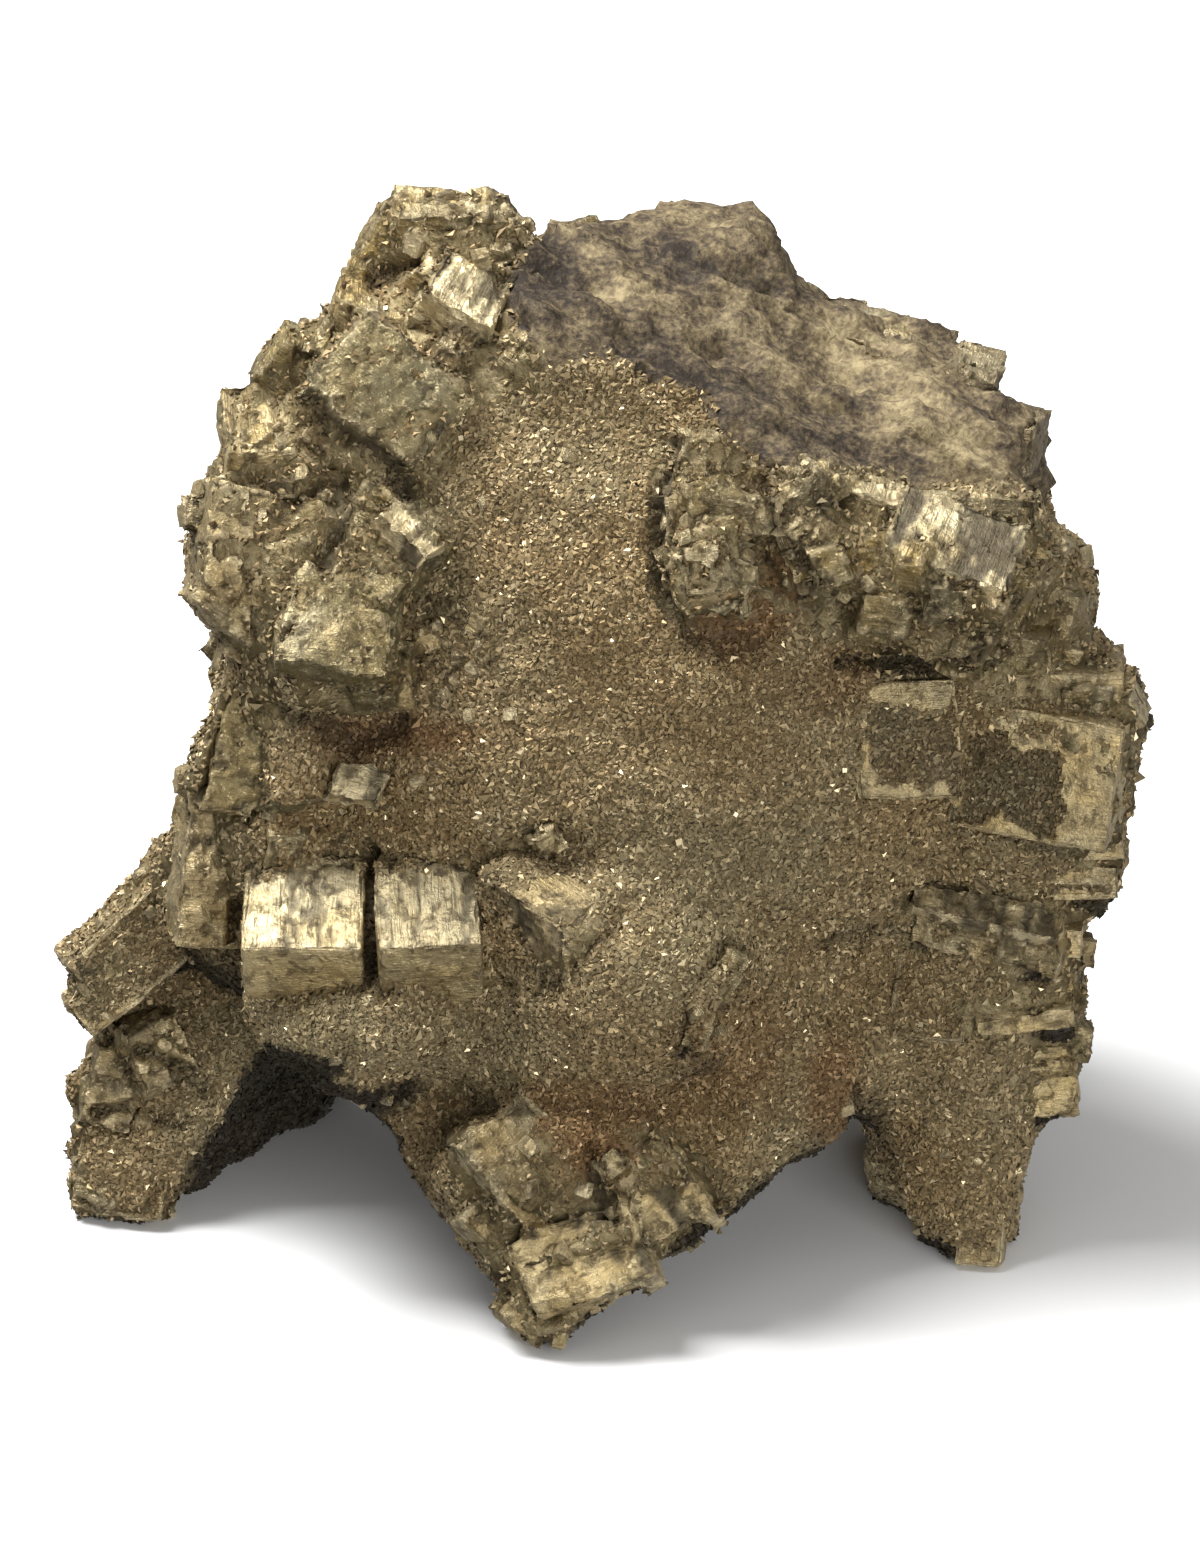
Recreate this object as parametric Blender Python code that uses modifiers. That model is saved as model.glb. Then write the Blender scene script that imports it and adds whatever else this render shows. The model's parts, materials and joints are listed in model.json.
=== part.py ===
"""Pyrite cluster: cube crystals and a drusy crust on a mass of pyrite rock.

One natural piece that stands on three front feet and one back foot, with a hollow under it.
Metres, +Z up, origin on the ground under the middle of the specimen.

Places are given on the show face, the side that a collector turns to the front. It leans
back by SHOW_TILT. ACROSS runs to the right and UP runs up the face, both in millimetres, and
BACK is the true distance behind the tip of the front foot.
"""

import math
import random

import bmesh
import bpy
from mathutils import Matrix, Vector

MM = 0.001
SHOW_TILT = math.radians(28.0)
MIDDLE_ACROSS = -0.2  # of the specimen's box, as places are given on the show face
MIDDLE_BACK = 44.4

# The mass is grown together from its lumps, trimmed, worn and cut into facets.
MASS_VOXEL = 1.9
WORN_VOXEL = 1.5
WORN_FACTOR = 0.5
WORN_PASSES = 5
MASS_TRIANGLES_KEPT = 0.085
ROCK_RELIEF = 2.4
ROCK_RELIEF_ZERO = 0.4
ROCK_LUMP_SIZE = 9.0

LUMP_SUBDIVISIONS = 3
BAR_SIDES = 20
WELD = 0.01
GROUND_SIZE = 400.0

ROCK_COLOUR = (0.19, 0.145, 0.075, 1.0)
ROCK_METALLIC = 0.85
ROCK_ROUGHNESS = 0.4

# Rounded masses: across, up, back, then the radii across, back and upright.
LUMPS = [
    ("core", 4, 70, 48, 44, 34, 36),
    ("face", 6, 74, 38, 32, 20, 34),
    ("shoulder", 2, 94, 50, 36, 26, 22),
    ("hump", 9, 109, 59, 18, 16, 16),
    ("hump_right", 20, 105, 60, 14, 14, 12),
    ("left_top", -22, 102, 50, 17, 20, 16),
    ("knob_root", -15, 114, 53, 12, 13, 12),
    ("left_side", -33, 82, 42, 13, 20, 22),
    ("left_flank", -35, 60, 42, 15, 20, 22),
    ("right_shoulder", 40, 82, 46, 15, 20, 16),
    ("right_side", 46, 64, 42, 14, 18, 18),
    ("right_low", 41, 42, 38, 13, 16, 22),
    ("boss", 2.5, 43, 23, 18, 16, 16),
    ("boss_root", 4, 42, 32, 28, 18, 18),
    ("front_low", 18, 36, 32, 18, 16, 14),
    ("left_low", -22, 42, 32, 14, 15, 12),
    ("under_stripes", -26, 36.5, 19, 13, 9, 9),
]

# Rounded bars: two ends, each across, up, back, and a radius for each end.
BARS = [
    ("front_foot", (-4, 6, 6), 5.0, (-3, 30, 20), 14.0),
    ("front_foot_right", (3, 14, 14), 6.0, (18, 31, 24), 11.0),
    ("front_foot_left", (-11, 18, 16), 6.0, (-24, 38, 28), 9.0),
    ("right_foot", (40, 13, 25), 6.0, (39, 34, 32), 12.0),
    ("right_foot_back", (34, 21, 38), 7.0, (37, 40, 40), 12.0),
    ("left_foot_mid", (-47, 21, 44), 6.5, (-42, 46, 46), 10.0),
    ("left_spine", (-42, 50, 38), 8.0, (-38, 72, 38), 9.0),
]

# Angular masses: across, up, back, then the sizes across, up and out, then spin, tip, turn.
BLOCKS = [
    ("top_slab", 17, 101.5, 50, 56, 22, 38, -29, 39, 0),
    ("top_slab_end", 38, 99, 50, 16, 18, 24, -24, 35, 0),
    ("bed_high", 22, 111.5, 56, 34, 5, 16, -21, 36, 0),
    ("bed_low", 27, 101.5, 45, 36, 5, 15, -20, 44, 0),
    ("front_wedge", -5.5, 16, 12, 21, 26, 16, 42, 5, 0),
    ("boss_cube", 2, 43, 21.5, 17.5, 17.5, 17.5, 8, 42, 45),
    ("left_leg", -45, 35, 43, 17, 42, 18, -34, 5, 0),
    ("left_foot", -53, 20, 38, 12, 14, 14, -8, 10, 0),
    ("left_foot_wall", -40, 32, 52, 13, 40, 30, -8, 28, -38),
    ("right_leg", 42, 22, 30, 11, 30, 16, 2, 0, 0),
    ("right_leg_wall", 38, 33, 42, 15, 32, 22, -4, 28, 20),
    ("back_upper", 2, 104, 64, 46, 26, 26, -6, 40, 8),
    ("back_middle", -2, 82, 66, 58, 32, 30, 5, 22, -10),
    ("back_lower", 18, 60, 62, 42, 26, 32, -8, 25, 15),
    ("left_back", -32, 79, 56, 24, 32, 28, 12, 20, 30),
    ("right_back", 38, 75, 55, 26, 38, 28, -10, 30, -28),
    ("back_foot", 19, 42, 70, 21, 34, 17, 4, 28, 12),
]

# Cube crystals and slabs: across, up, back, then the sizes across, up and out, then spin, tip, turn.
CRYSTALS = [
    ("knob_left", -23.2, 121.0, 53.5, 6.5, 7.5, 8, -28, 12, 10),
    ("knob_top", -19.0, 122.8, 53.0, 8, 7, 8, -8, 28, 5),
    ("knob_mid", -14.2, 122.8, 53.0, 6, 6.5, 8, 18, 22, -8),
    ("knob_right", -10.2, 120.8, 52.0, 6, 6, 7, 30, 15, -10),
    ("knob_low_left", -19.5, 118.5, 50.5, 6, 5, 6, -15, 30, 0),
    ("knob_low_right", -12.0, 118.5, 49.5, 6, 5, 5, 12, 35, -10),
    ("bright_top", -15.8, 114.5, 45.5, 7.5, 8, 7, -28, 42, 0),
    ("bright_low", -12.3, 110.6, 42.5, 6, 4, 5, -12, 20, 5),
    ("bright_corner", -9.0, 107.5, 40.5, 5, 4.5, 5, 38, 25, 0),
    ("bright_left", -24.9, 114.0, 46.5, 8, 5, 7, -22, 35, 5),
    ("bright_far_left", -28.5, 110.5, 46.0, 5, 5, 6, -30, 15, 15),
    ("big_square", -23.8, 104.0, 38.0, 15.5, 12.5, 12, -39, -8, 0),
    ("left_top_cube", -36.2, 99.8, 41.0, 11, 8.5, 10, -5, 48, 8),
    ("left_top_small", -33.8, 108.6, 45.5, 6, 6.5, 7, -35, 20, 15),
    ("left_top_corner", -32.0, 98.0, 40.5, 5, 4, 5, 10, 30, -10),
    ("left_plate", -39.8, 89.5, 33.5, 9.5, 11.5, 12, -5, 0, 12),
    ("left_plate_low", -39.6, 83.5, 31.0, 9, 9, 11, -40, 0, 8),
    ("left_tab", -39.4, 77.5, 29.5, 4, 4, 6, -36, 5, 0),
    ("pair_top", -23.2, 88.0, 31.5, 11.5, 12, 11, -33, 8, -12),
    ("pair_low", -28.5, 79.0, 26.5, 13, 12.5, 12, -10, -18, 0),
    ("pair_sheet", -19.7, 89.3, 29.0, 6, 4.5, 3, -42, 35, -10),
    ("crumb_a", -18.9, 78.5, 26.5, 3.5, 3.5, 4, 20, 10, 15),
    ("crumb_b", -13.5, 80.0, 24.5, 3, 3, 4, -30, 20, 0),
    ("crumb_c", -16.0, 74.0, 24.0, 3.5, 3, 4, 35, 5, 10),
    ("crumb_d", -21.0, 72.3, 23.5, 3, 3, 4, 10, 25, -10),
    ("crumb_e", -12.0, 75.5, 23.5, 2.5, 2.5, 3.5, 50, 15, 0),
    ("small_upright", -34.2, 64.6, 25.5, 6, 10, 7, 4, -6, 12),
    ("small_low", -34.7, 56.2, 24.0, 5, 5, 6, -8, 30, 10),
    ("small_high", -34.5, 71.3, 26.5, 3.5, 3.5, 4, 10, 10, 10),
    ("glint", -26.3, 62.5, 24.0, 5, 4.5, 4, -14, 48, 0),
    ("glint_small", -20.1, 63.2, 21.5, 2.2, 2, 3, 10, 45, 0),
    ("striped_left", -32.3, 45.0, 20.5, 13.5, 13.5, 13.5, 3, 44, -4),
    ("striped_right", -18.8, 45.3, 18.0, 11.5, 13, 13, 4, 44, 6),
    ("striped_chip", -13.4, 43.3, 16.0, 4, 4, 5, -20, 20, 0),
    ("boss_chip_high", 13.2, 41.9, 12.0, 2, 5.5, 6, -25, 10, 0),
    ("boss_chip_low", 10.6, 37.7, 9.8, 2.2, 7.5, 6, -14, 5, 0),
    ("upright_top", 10.0, 97.0, 30.0, 6, 9, 8, -10, 12, 8),
    ("upright_left", 8.8, 91.0, 26.5, 5.5, 8, 7, 8, 5, 12),
    ("upright_round", 14.0, 91.5, 26.5, 6, 6.5, 8, -6, 22, -10),
    ("upright_mid", 11.0, 86.5, 23.5, 6.5, 6.5, 8, 12, 10, 5),
    ("upright_bright", 14.3, 83.8, 23.0, 5.5, 6, 7, -22, -8, -8),
    ("upright_low", 9.8, 82.2, 22.5, 4.5, 4.5, 6, 22, -12, 10),
    ("right_bright", 21.3, 93.0, 28.5, 7, 7, 7, 32, 34, 0),
    ("right_lumpy", 22.5, 86.5, 26.0, 7, 7, 8, 20, 14, 8),
    ("right_lumpy_high", 27.0, 88.0, 27.5, 6.5, 8, 8, -14, 18, 0),
    ("right_filler", 30.5, 82.0, 27.5, 7, 8, 9, -14, 8, 6),
    ("right_block", 37.0, 83.6, 27.5, 15.5, 12, 13, -19, 33, 0),
    ("right_small_top", 29.8, 93.3, 31.5, 4.5, 4, 5, -20, 32, 0),
    ("right_stack", 45.8, 86.2, 36.5, 8, 10.5, 11, -34, 18, -12),
    ("right_stack_end", 50.4, 81.5, 37.0, 4.5, 5.5, 8, -20, 10, -10),
    ("right_shelf", 39.5, 93.3, 36.0, 17, 4, 9, -4, 15, 0),
    ("rock_knob_high", 40.6, 106.8, 54.0, 6, 5.5, 9, -18, 30, 0),
    ("rock_knob_low", 44.8, 100.4, 50.0, 6.5, 6.5, 10, -12, 20, -10),
    ("rock_layer_high", 24.0, 112.6, 60.0, 10, 4, 12, -10, 25, 0),
    ("rock_layer_low", 33.5, 109.6, 57.0, 10, 4, 12, -18, 30, 0),
    ("framed_left", 33.2, 67.3, 27.0, 11.5, 13, 8, 3, 2, 0),
    ("framed_right", 48.3, 64.5, 31.0, 18.5, 15, 13, -9, 14, -8),
    ("framed_cap", 50.2, 73.9, 35.5, 14, 5.5, 11, -2, 20, 0),
    ("framed_corner", 57.0, 70.6, 33.0, 4.5, 4.5, 5, 30, 20, -20),
    ("step_high", 53.6, 55.8, 32.0, 7, 3, 9, 3, 6, 0),
    ("step_mid", 52.3, 53.2, 31.5, 8.5, 2.2, 9, -3, 10, 0),
    ("step_low", 52.8, 51.0, 32.0, 7.5, 2.6, 9, 2, 0, 0),
    ("ledge_long", 42.3, 46.5, 27.0, 17, 5, 8, -14, 26, 0),
    ("ledge_end", 49.2, 46.0, 29.0, 7, 3.5, 8, -2, 15, 0),
    ("ledge_hook", 46.5, 38.8, 26.8, 11.5, 6.5, 7, 3, 5, 0),
    ("ledge_block", 36.0, 39.0, 26.5, 9, 10, 6, -6, 0, 0),
    ("ledge_thin_a", 48.2, 34.2, 28.0, 8.5, 2, 7, 8, 25, 0),
    ("ledge_thin_b", 47.6, 31.5, 28.5, 9, 1.6, 7, 6, 10, 0),
    ("ledge_tab", 49.0, 28.3, 29.5, 6.5, 5, 8, 2, 0, 0),
    ("right_foot_corner", 41.8, 13.2, 23.0, 5.5, 7.5, 7, -3, 4, -6),
    ("foot_left_cube", -9.8, 22.0, 8.5, 10.5, 12.5, 9, 42, 12, 14),
    ("foot_right_cube", 6.8, 19.3, 9.5, 8, 11.5, 9, 40, 14, -12),
    ("foot_front_cube", -2.2, 10.0, 5.0, 14, 9, 9, 22, 18, 0),
    ("foot_tip", -7.4, 5.2, 3.6, 7, 7, 7, 46, 5, 0),
    ("leg_slab_high", -52.2, 46.8, 38.0, 16, 5.5, 9, 43, 18, 0),
    ("leg_slab_low", -52.5, 41.2, 36.5, 14, 5, 9, 40, 12, 0),
    ("leg_frame", -51.8, 20.8, 36.0, 11, 12, 10, -10, 6, -10),
    ("leg_side", -54.3, 29.0, 37.5, 6, 9, 9, -14, 5, 10),
    ("spine_high", -40.5, 69.0, 31.0, 6, 16, 10, -17, 5, 10),
    ("spine_low", -43.8, 54.0, 30.5, 5.5, 15, 9, -8, 4, 10),
    ("spine_tab", -44.0, 61.8, 33.0, 2.5, 3.5, 6, 5, 10, 0),
    ("face_diamond", 10.8, 73.0, 21.2, 7.5, 5, 6, 24, 8, -6),
]

# The cube corner that looks out of the boss: across, up, back, edge, spin, tip, turn, and how
# much of its corner is cut off by a growth face.
CORNER_CUBE = ("boss_corner", -4.4, 48.7, 15.8, 10, 0, 62, 45, 4.5)

# Shallow hollows in the front of a slab: its name, then the hollow's middle across and up on
# the slab, and the hollow's sizes across, up and deep.
RECESSES = [
    ("framed_left", 0.9, -1.2, 9.6, 10.5, 1.0),
    ("framed_right", -2.9, -2.0, 10.5, 9.5, 1.2),
    ("leg_frame", 0.4, 0.0, 8.0, 8.6, 0.8),
]

# Open cracks between the masses, given as a crystal is.
CRACKS = [
    ("crack_right", 35.0, 75.6, 27.0, 17, 0.9, 9, 2, 0, 0),
    ("crack_low", 28.2, 26.5, 19.0, 0.9, 6.5, 6, 6, 0, 0),
    ("crack_left", -35.2, 91.3, 30.0, 1.2, 3.2, 6, -4, 0, 0),
]

# Rounded hollows, given as a lump is.
HOLLOWS = [
    ("hump_hollow", 14.2, 118.4, 48.5, 6.5, 6, 2.4),
    ("stripes_hollow", -9.4, 45.3, 12.5, 2.6, 4, 5),
]

# Groups of cubes on the sides and the back: across, up, back of the middle, the way that the
# group faces (0 to the front, 90 to the right, 180 to the back) and how far up it looks, how
# wide it spreads, how many cubes, then the smallest and largest cube.
GROUPS = [
    ("group_right_high", 47, 75, 51, 95, 15, 8, 5, 5, 11),
    ("group_right_low", 46, 48, 47, 95, -5, 9, 5, 5, 10),
    ("group_right_back", 40, 80, 63, 135, 10, 10, 6, 6, 12),
    ("group_back_high", 18, 106, 73, 175, 35, 12, 6, 6, 11),
    ("group_back_mid", 4, 88, 80, 180, 10, 14, 9, 7, 14),
    ("group_back_left", -22, 82, 76, 200, 10, 11, 7, 6, 12),
    ("group_back_low", 24, 60, 76, 170, -5, 11, 7, 6, 12),
    ("group_left_back", -36, 80, 60, 245, 10, 8, 6, 6, 11),
    ("group_left_high", -29, 102, 57, 260, 35, 8, 5, 5, 9),
    ("group_left_low", -46, 47, 54, 260, 5, 8, 5, 5, 9),
    ("group_top", -6, 120, 66, 180, 60, 10, 5, 4, 8),
]
SEED = 11
MOST_SPIN = 40
MOST_TIP = 28

# The specimen's outer edge on the show face: across, up.
OUTLINE = [
    (-26.5, 120), (-23, 125), (-18, 127.5), (-11.5, 126.5), (-6, 123), (2.5, 124.5),
    (10, 125), (18, 122.5), (21.5, 116.5), (27.5, 115), (33.5, 114.5), (38.5, 111),
    (43, 109), (43, 105.5), (48.5, 102.5), (48.5, 97.5), (47, 93.5), (52.5, 85.5),
    (53.5, 82.5), (52, 79), (56, 76), (59, 70), (56.5, 58), (55, 50), (51.5, 46),
    (51, 34), (51, 26), (47, 23), (45, 17), (44.5, 10.5), (38.5, 11.5), (35.5, 12),
    (29.5, 16), (25, 22), (20.5, 19), (10.5, 14), (7, 10), (2, 5.5), (-3, 2),
    (-5, -3), (-9.5, -3), (-12.5, 7.5), (-21, 22.5), (-27.5, 28), (-35, 24), (-42, 21),
    (-48, 16), (-50, 12), (-58, 13), (-59.5, 18), (-57.5, 26), (-57, 34), (-60, 40),
    (-54.5, 48.5), (-49, 54.5), (-46, 55.5), (-44, 65), (-41, 70), (-39.5, 77),
    (-44.5, 84), (-43.5, 97), (-39.5, 104), (-37, 108.5), (-32.5, 112.5), (-27.5, 114.5),
]
OUTLINE_REACH = 140.0


def spot(across, up, back):
    """The point that lies at this place on the show face and this far back."""
    height = (up - back * math.sin(SHOW_TILT)) / math.cos(SHOW_TILT)
    return Vector((across - MIDDLE_ACROSS, back - MIDDLE_BACK, height)) * MM


def show_frame():
    """The show face's own axes: across, up the face and out of it."""
    lean, rise = math.sin(SHOW_TILT), math.cos(SHOW_TILT)
    return Matrix(((1, 0, 0), (0, lean, -rise), (0, rise, lean)))


def turned(spin, tip, turn):
    return (
        Matrix.Rotation(math.radians(spin), 3, "Z")
        @ Matrix.Rotation(math.radians(tip), 3, "X")
        @ Matrix.Rotation(math.radians(turn), 3, "Y")
    )


def clear_scene():
    for item in list(bpy.data.objects):
        bpy.data.objects.remove(item)


def new_collection(name):
    collection = bpy.data.collections.new(name)
    bpy.context.scene.collection.children.link(collection)
    return collection


def settle(item, collection, name):
    """Names an object, moves it to its collection and puts its place in its mesh."""
    item.name = name
    item.data.name = name
    for other in list(item.users_collection):
        other.objects.unlink(item)
    collection.objects.link(item)
    item.data.transform(item.matrix_basis)
    item.matrix_basis = Matrix.Identity(4)
    return item


def join(items):
    """Joins mesh objects into the first one."""
    bpy.ops.object.select_all(action="DESELECT")
    for item in items:
        item.select_set(True)
    bpy.context.view_layer.objects.active = items[0]
    bpy.ops.object.join()
    return items[0]


def ball(collection, name, centre, radius):
    bpy.ops.mesh.primitive_ico_sphere_add(
        subdivisions=LUMP_SUBDIVISIONS, radius=radius, location=centre
    )
    return settle(bpy.context.object, collection, name)


def lump(collection, name, across, up, back, wide, deep, tall):
    bpy.ops.mesh.primitive_ico_sphere_add(
        subdivisions=LUMP_SUBDIVISIONS, radius=MM, location=spot(across, up, back)
    )
    item = bpy.context.object
    item.scale = (wide, deep, tall)
    return settle(item, collection, name)


def bar(collection, name, low, low_radius, high, high_radius):
    """A rounded bar that widens from its low end to its high end."""
    start, end = spot(*low), spot(*high)
    run = end - start
    bpy.ops.mesh.primitive_cone_add(
        vertices=BAR_SIDES, radius1=low_radius * MM, radius2=high_radius * MM, depth=run.length
    )
    item = bpy.context.object
    slope = run.to_track_quat("Z", "Y").to_matrix().to_4x4()
    item.matrix_basis = Matrix.Translation((start + end) / 2) @ slope
    stem = settle(item, collection, name)
    low_end = ball(collection, name + "_low", start, low_radius * MM)
    high_end = ball(collection, name + "_high", end, high_radius * MM)
    return join([stem, low_end, high_end])


def box(collection, name, place, wide, tall, deep):
    """A box of these sizes, turned and moved by a matrix."""
    bpy.ops.mesh.primitive_cube_add(size=MM)
    item = bpy.context.object
    item.matrix_basis = place @ Matrix.Diagonal((wide, tall, deep, 1))
    return settle(item, collection, name)


def block(collection, name, across, up, back, wide, tall, deep, spin, tip, turn):
    """A box: spin turns it on the show face, tip shows its top and turn shows its left side."""
    turns = show_frame() @ turned(spin, tip, turn)
    place = Matrix.Translation(spot(across, up, back)) @ turns.to_4x4()
    return box(collection, name, place, wide, tall, deep)


def facing_frame(facing, rise):
    """The axes of a surface that looks this way: along it, up it and out of it."""
    way, lift = math.radians(facing), math.radians(rise)
    flat = math.cos(lift)
    out = Vector((math.sin(way) * flat, -math.cos(way) * flat, math.sin(lift)))
    side = Vector((math.cos(way), math.sin(way), 0))
    return Matrix((side, out.cross(side), out)).transposed()


def group(collection, name, across, up, back, facing, rise, spread, count, small, large):
    """Cubes of many sizes and turns, half sunk in the surface that the group grows on."""
    draw = random.Random(name + str(SEED))
    frame = facing_frame(facing, rise)
    middle = spot(across, up, back)
    for number in range(count):
        shift = Vector((draw.uniform(-spread, spread), draw.uniform(-spread, spread), 0))
        edge = draw.uniform(small, large)
        spin = draw.uniform(-MOST_SPIN, MOST_SPIN)
        tip = draw.uniform(-MOST_TIP, MOST_TIP)
        turn = draw.uniform(-MOST_TIP, MOST_TIP)
        turns = frame @ turned(spin, tip, turn)
        place = Matrix.Translation(middle + frame @ shift * MM) @ turns.to_4x4()
        box(collection, name + "_" + str(number), place, edge, edge, edge)


def corner_cube(collection, name, across, up, back, edge, spin, tip, turn, cut):
    """A cube with its foremost corner cut off."""
    item = block(collection, name, across, up, back, edge, edge, edge, spin, tip, turn)
    work = bmesh.new()
    work.from_mesh(item.data)
    out = show_frame().col[2]
    front = max(work.verts, key=lambda corner: corner.co.dot(out))
    bmesh.ops.bevel(work, geom=[front], offset=cut * MM, affect="VERTICES", segments=1)
    work.to_mesh(item.data)
    work.free()


def recess(collection, slab, across, up, wide, tall, deep):
    """A cutter that sinks a shallow hollow in the front face of the slab of that name."""
    row = next(row for row in CRYSTALS if row[0] == slab)
    slab_deep = row[6]
    turns = show_frame() @ turned(*row[7:10])
    front = spot(*row[1:4]) + turns @ Vector((across, up, slab_deep / 2)) * MM
    place = Matrix.Translation(front) @ turns.to_4x4()
    box(collection, slab + "_recess", place, wide, tall, 2 * deep)


def outline_curve():
    """The outer edge as a filled curve, square to the show face."""
    curve = bpy.data.curves.new("outline", "CURVE")
    curve.dimensions = "2D"
    curve.fill_mode = "BOTH"
    curve.extrude = OUTLINE_REACH * MM
    spline = curve.splines.new("POLY")
    spline.points.add(len(OUTLINE) - 1)
    for point, (across, up) in zip(spline.points, OUTLINE):
        point.co = (across * MM, up * MM, 0, 1)
    spline.use_cyclic_u = True
    item = bpy.data.objects.new("outline_curve", curve)
    bpy.context.scene.collection.objects.link(item)
    item.matrix_basis = Matrix.Translation(spot(0, 0, 0)) @ show_frame().to_4x4()
    bpy.context.view_layer.update()
    return item


def closed_mesh(item, collection, name):
    """Turns a curve object into a closed mesh object in the same place."""
    graph = bpy.context.evaluated_depsgraph_get()
    mesh = bpy.data.meshes.new_from_object(item.evaluated_get(graph))
    solid = bpy.data.objects.new(name, mesh)
    collection.objects.link(solid)
    solid.matrix_basis = item.matrix_world.copy()
    bpy.data.objects.remove(item)
    work = bmesh.new()
    work.from_mesh(mesh)
    bmesh.ops.remove_doubles(work, verts=work.verts, dist=WELD * MM)
    bmesh.ops.recalc_face_normals(work, faces=work.faces)
    work.to_mesh(mesh)
    work.free()
    return settle(solid, collection, name)


def rough_mass(parts):
    """The mass as separate lumps, bars and blocks in one mesh."""
    pieces = [lump(parts, *row) for row in LUMPS]
    pieces += [bar(parts, *row) for row in BARS]
    pieces += [block(parts, *row) for row in BLOCKS]
    mass = join(pieces)
    mass.name = "pyrite_cluster"
    mass.data.name = "pyrite_cluster"
    return mass


def remesh(mass, name, voxel):
    step = mass.modifiers.new(name, "REMESH")
    step.mode = "VOXEL"
    step.voxel_size = voxel * MM


def boolean(mass, name, operation, cutter):
    """Joins or cuts with one object, or with all the objects of a collection."""
    step = mass.modifiers.new(name, "BOOLEAN")
    step.operation = operation
    if isinstance(cutter, bpy.types.Collection):
        step.operand_type = "COLLECTION"
        step.collection = cutter
    else:
        step.object = cutter


def rock_relief(mass):
    """Lumps and flats all over the mass, as broken rock has."""
    relief = bpy.data.textures.new("rock_relief", "VORONOI")
    relief.distance_metric = "CHEBYCHEV"
    relief.noise_scale = ROCK_LUMP_SIZE * MM
    step = mass.modifiers.new("rock_relief", "DISPLACE")
    step.texture = relief
    step.texture_coords = "LOCAL"
    step.strength = -ROCK_RELIEF * MM
    step.mid_level = ROCK_RELIEF_ZERO


def grow_together(mass, cutters):
    """Fuses the lumps, trims them to the outer edge and wears and facets the surface."""
    remesh(mass, "grown_together", MASS_VOXEL)
    outline = closed_mesh(outline_curve(), cutters, "outline")
    boolean(mass, "outer_edge", "INTERSECT", outline)
    remesh(mass, "worn", WORN_VOXEL)
    soft = mass.modifiers.new("notches_filled", "SMOOTH")
    soft.factor = WORN_FACTOR
    soft.iterations = WORN_PASSES
    rock_relief(mass)
    thin = mass.modifiers.new("faceted", "DECIMATE")
    thin.ratio = MASS_TRIANGLES_KEPT


def grow_crystals(mass):
    crystals = new_collection("crystals")
    for row in CRYSTALS:
        block(crystals, *row)
    for row in GROUPS:
        group(crystals, *row)
    corner_cube(crystals, *CORNER_CUBE)
    boolean(mass, "crystals_grown_on", "UNION", crystals)
    return crystals


def open_hollows(mass):
    holes = new_collection("hollows_and_cracks")
    for row in RECESSES:
        recess(holes, *row)
    for row in CRACKS:
        block(holes, *row)
    for row in HOLLOWS:
        lump(holes, *row)
    boolean(mass, "hollows_and_cracks", "DIFFERENCE", holes)
    return holes


def rest_flat(mass, cutters):
    """Cuts the feet level, so that the specimen stands on the ground."""
    place = Matrix.Translation((0, 0, -GROUND_SIZE / 2 * MM))
    ground = box(cutters, "ground", place, GROUND_SIZE, GROUND_SIZE, GROUND_SIZE)
    boolean(mass, "rest_flat", "DIFFERENCE", ground)


def pyrite_material():
    material = bpy.data.materials.new("pyrite")
    material.use_nodes = True
    shader = material.node_tree.nodes["Principled BSDF"]
    shader.inputs["Base Color"].default_value = ROCK_COLOUR
    shader.inputs["Metallic"].default_value = ROCK_METALLIC
    shader.inputs["Roughness"].default_value = ROCK_ROUGHNESS
    material.diffuse_color = ROCK_COLOUR
    return material


def hide(collections):
    """Keeps helper objects out of the finished part."""
    for collection in collections:
        for helper in collection.objects:
            helper.hide_render = True
            helper.display_type = "WIRE"


def build():
    clear_scene()
    parts = new_collection("pyrite_specimen")
    cutters = new_collection("cutters")
    mass = rough_mass(parts)
    grow_together(mass, cutters)
    crystals = grow_crystals(mass)
    holes = open_hollows(mass)
    rest_flat(mass, cutters)
    mass.data.materials.clear()
    mass.data.materials.append(pyrite_material())
    hide([cutters, crystals, holes])


build()
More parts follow.
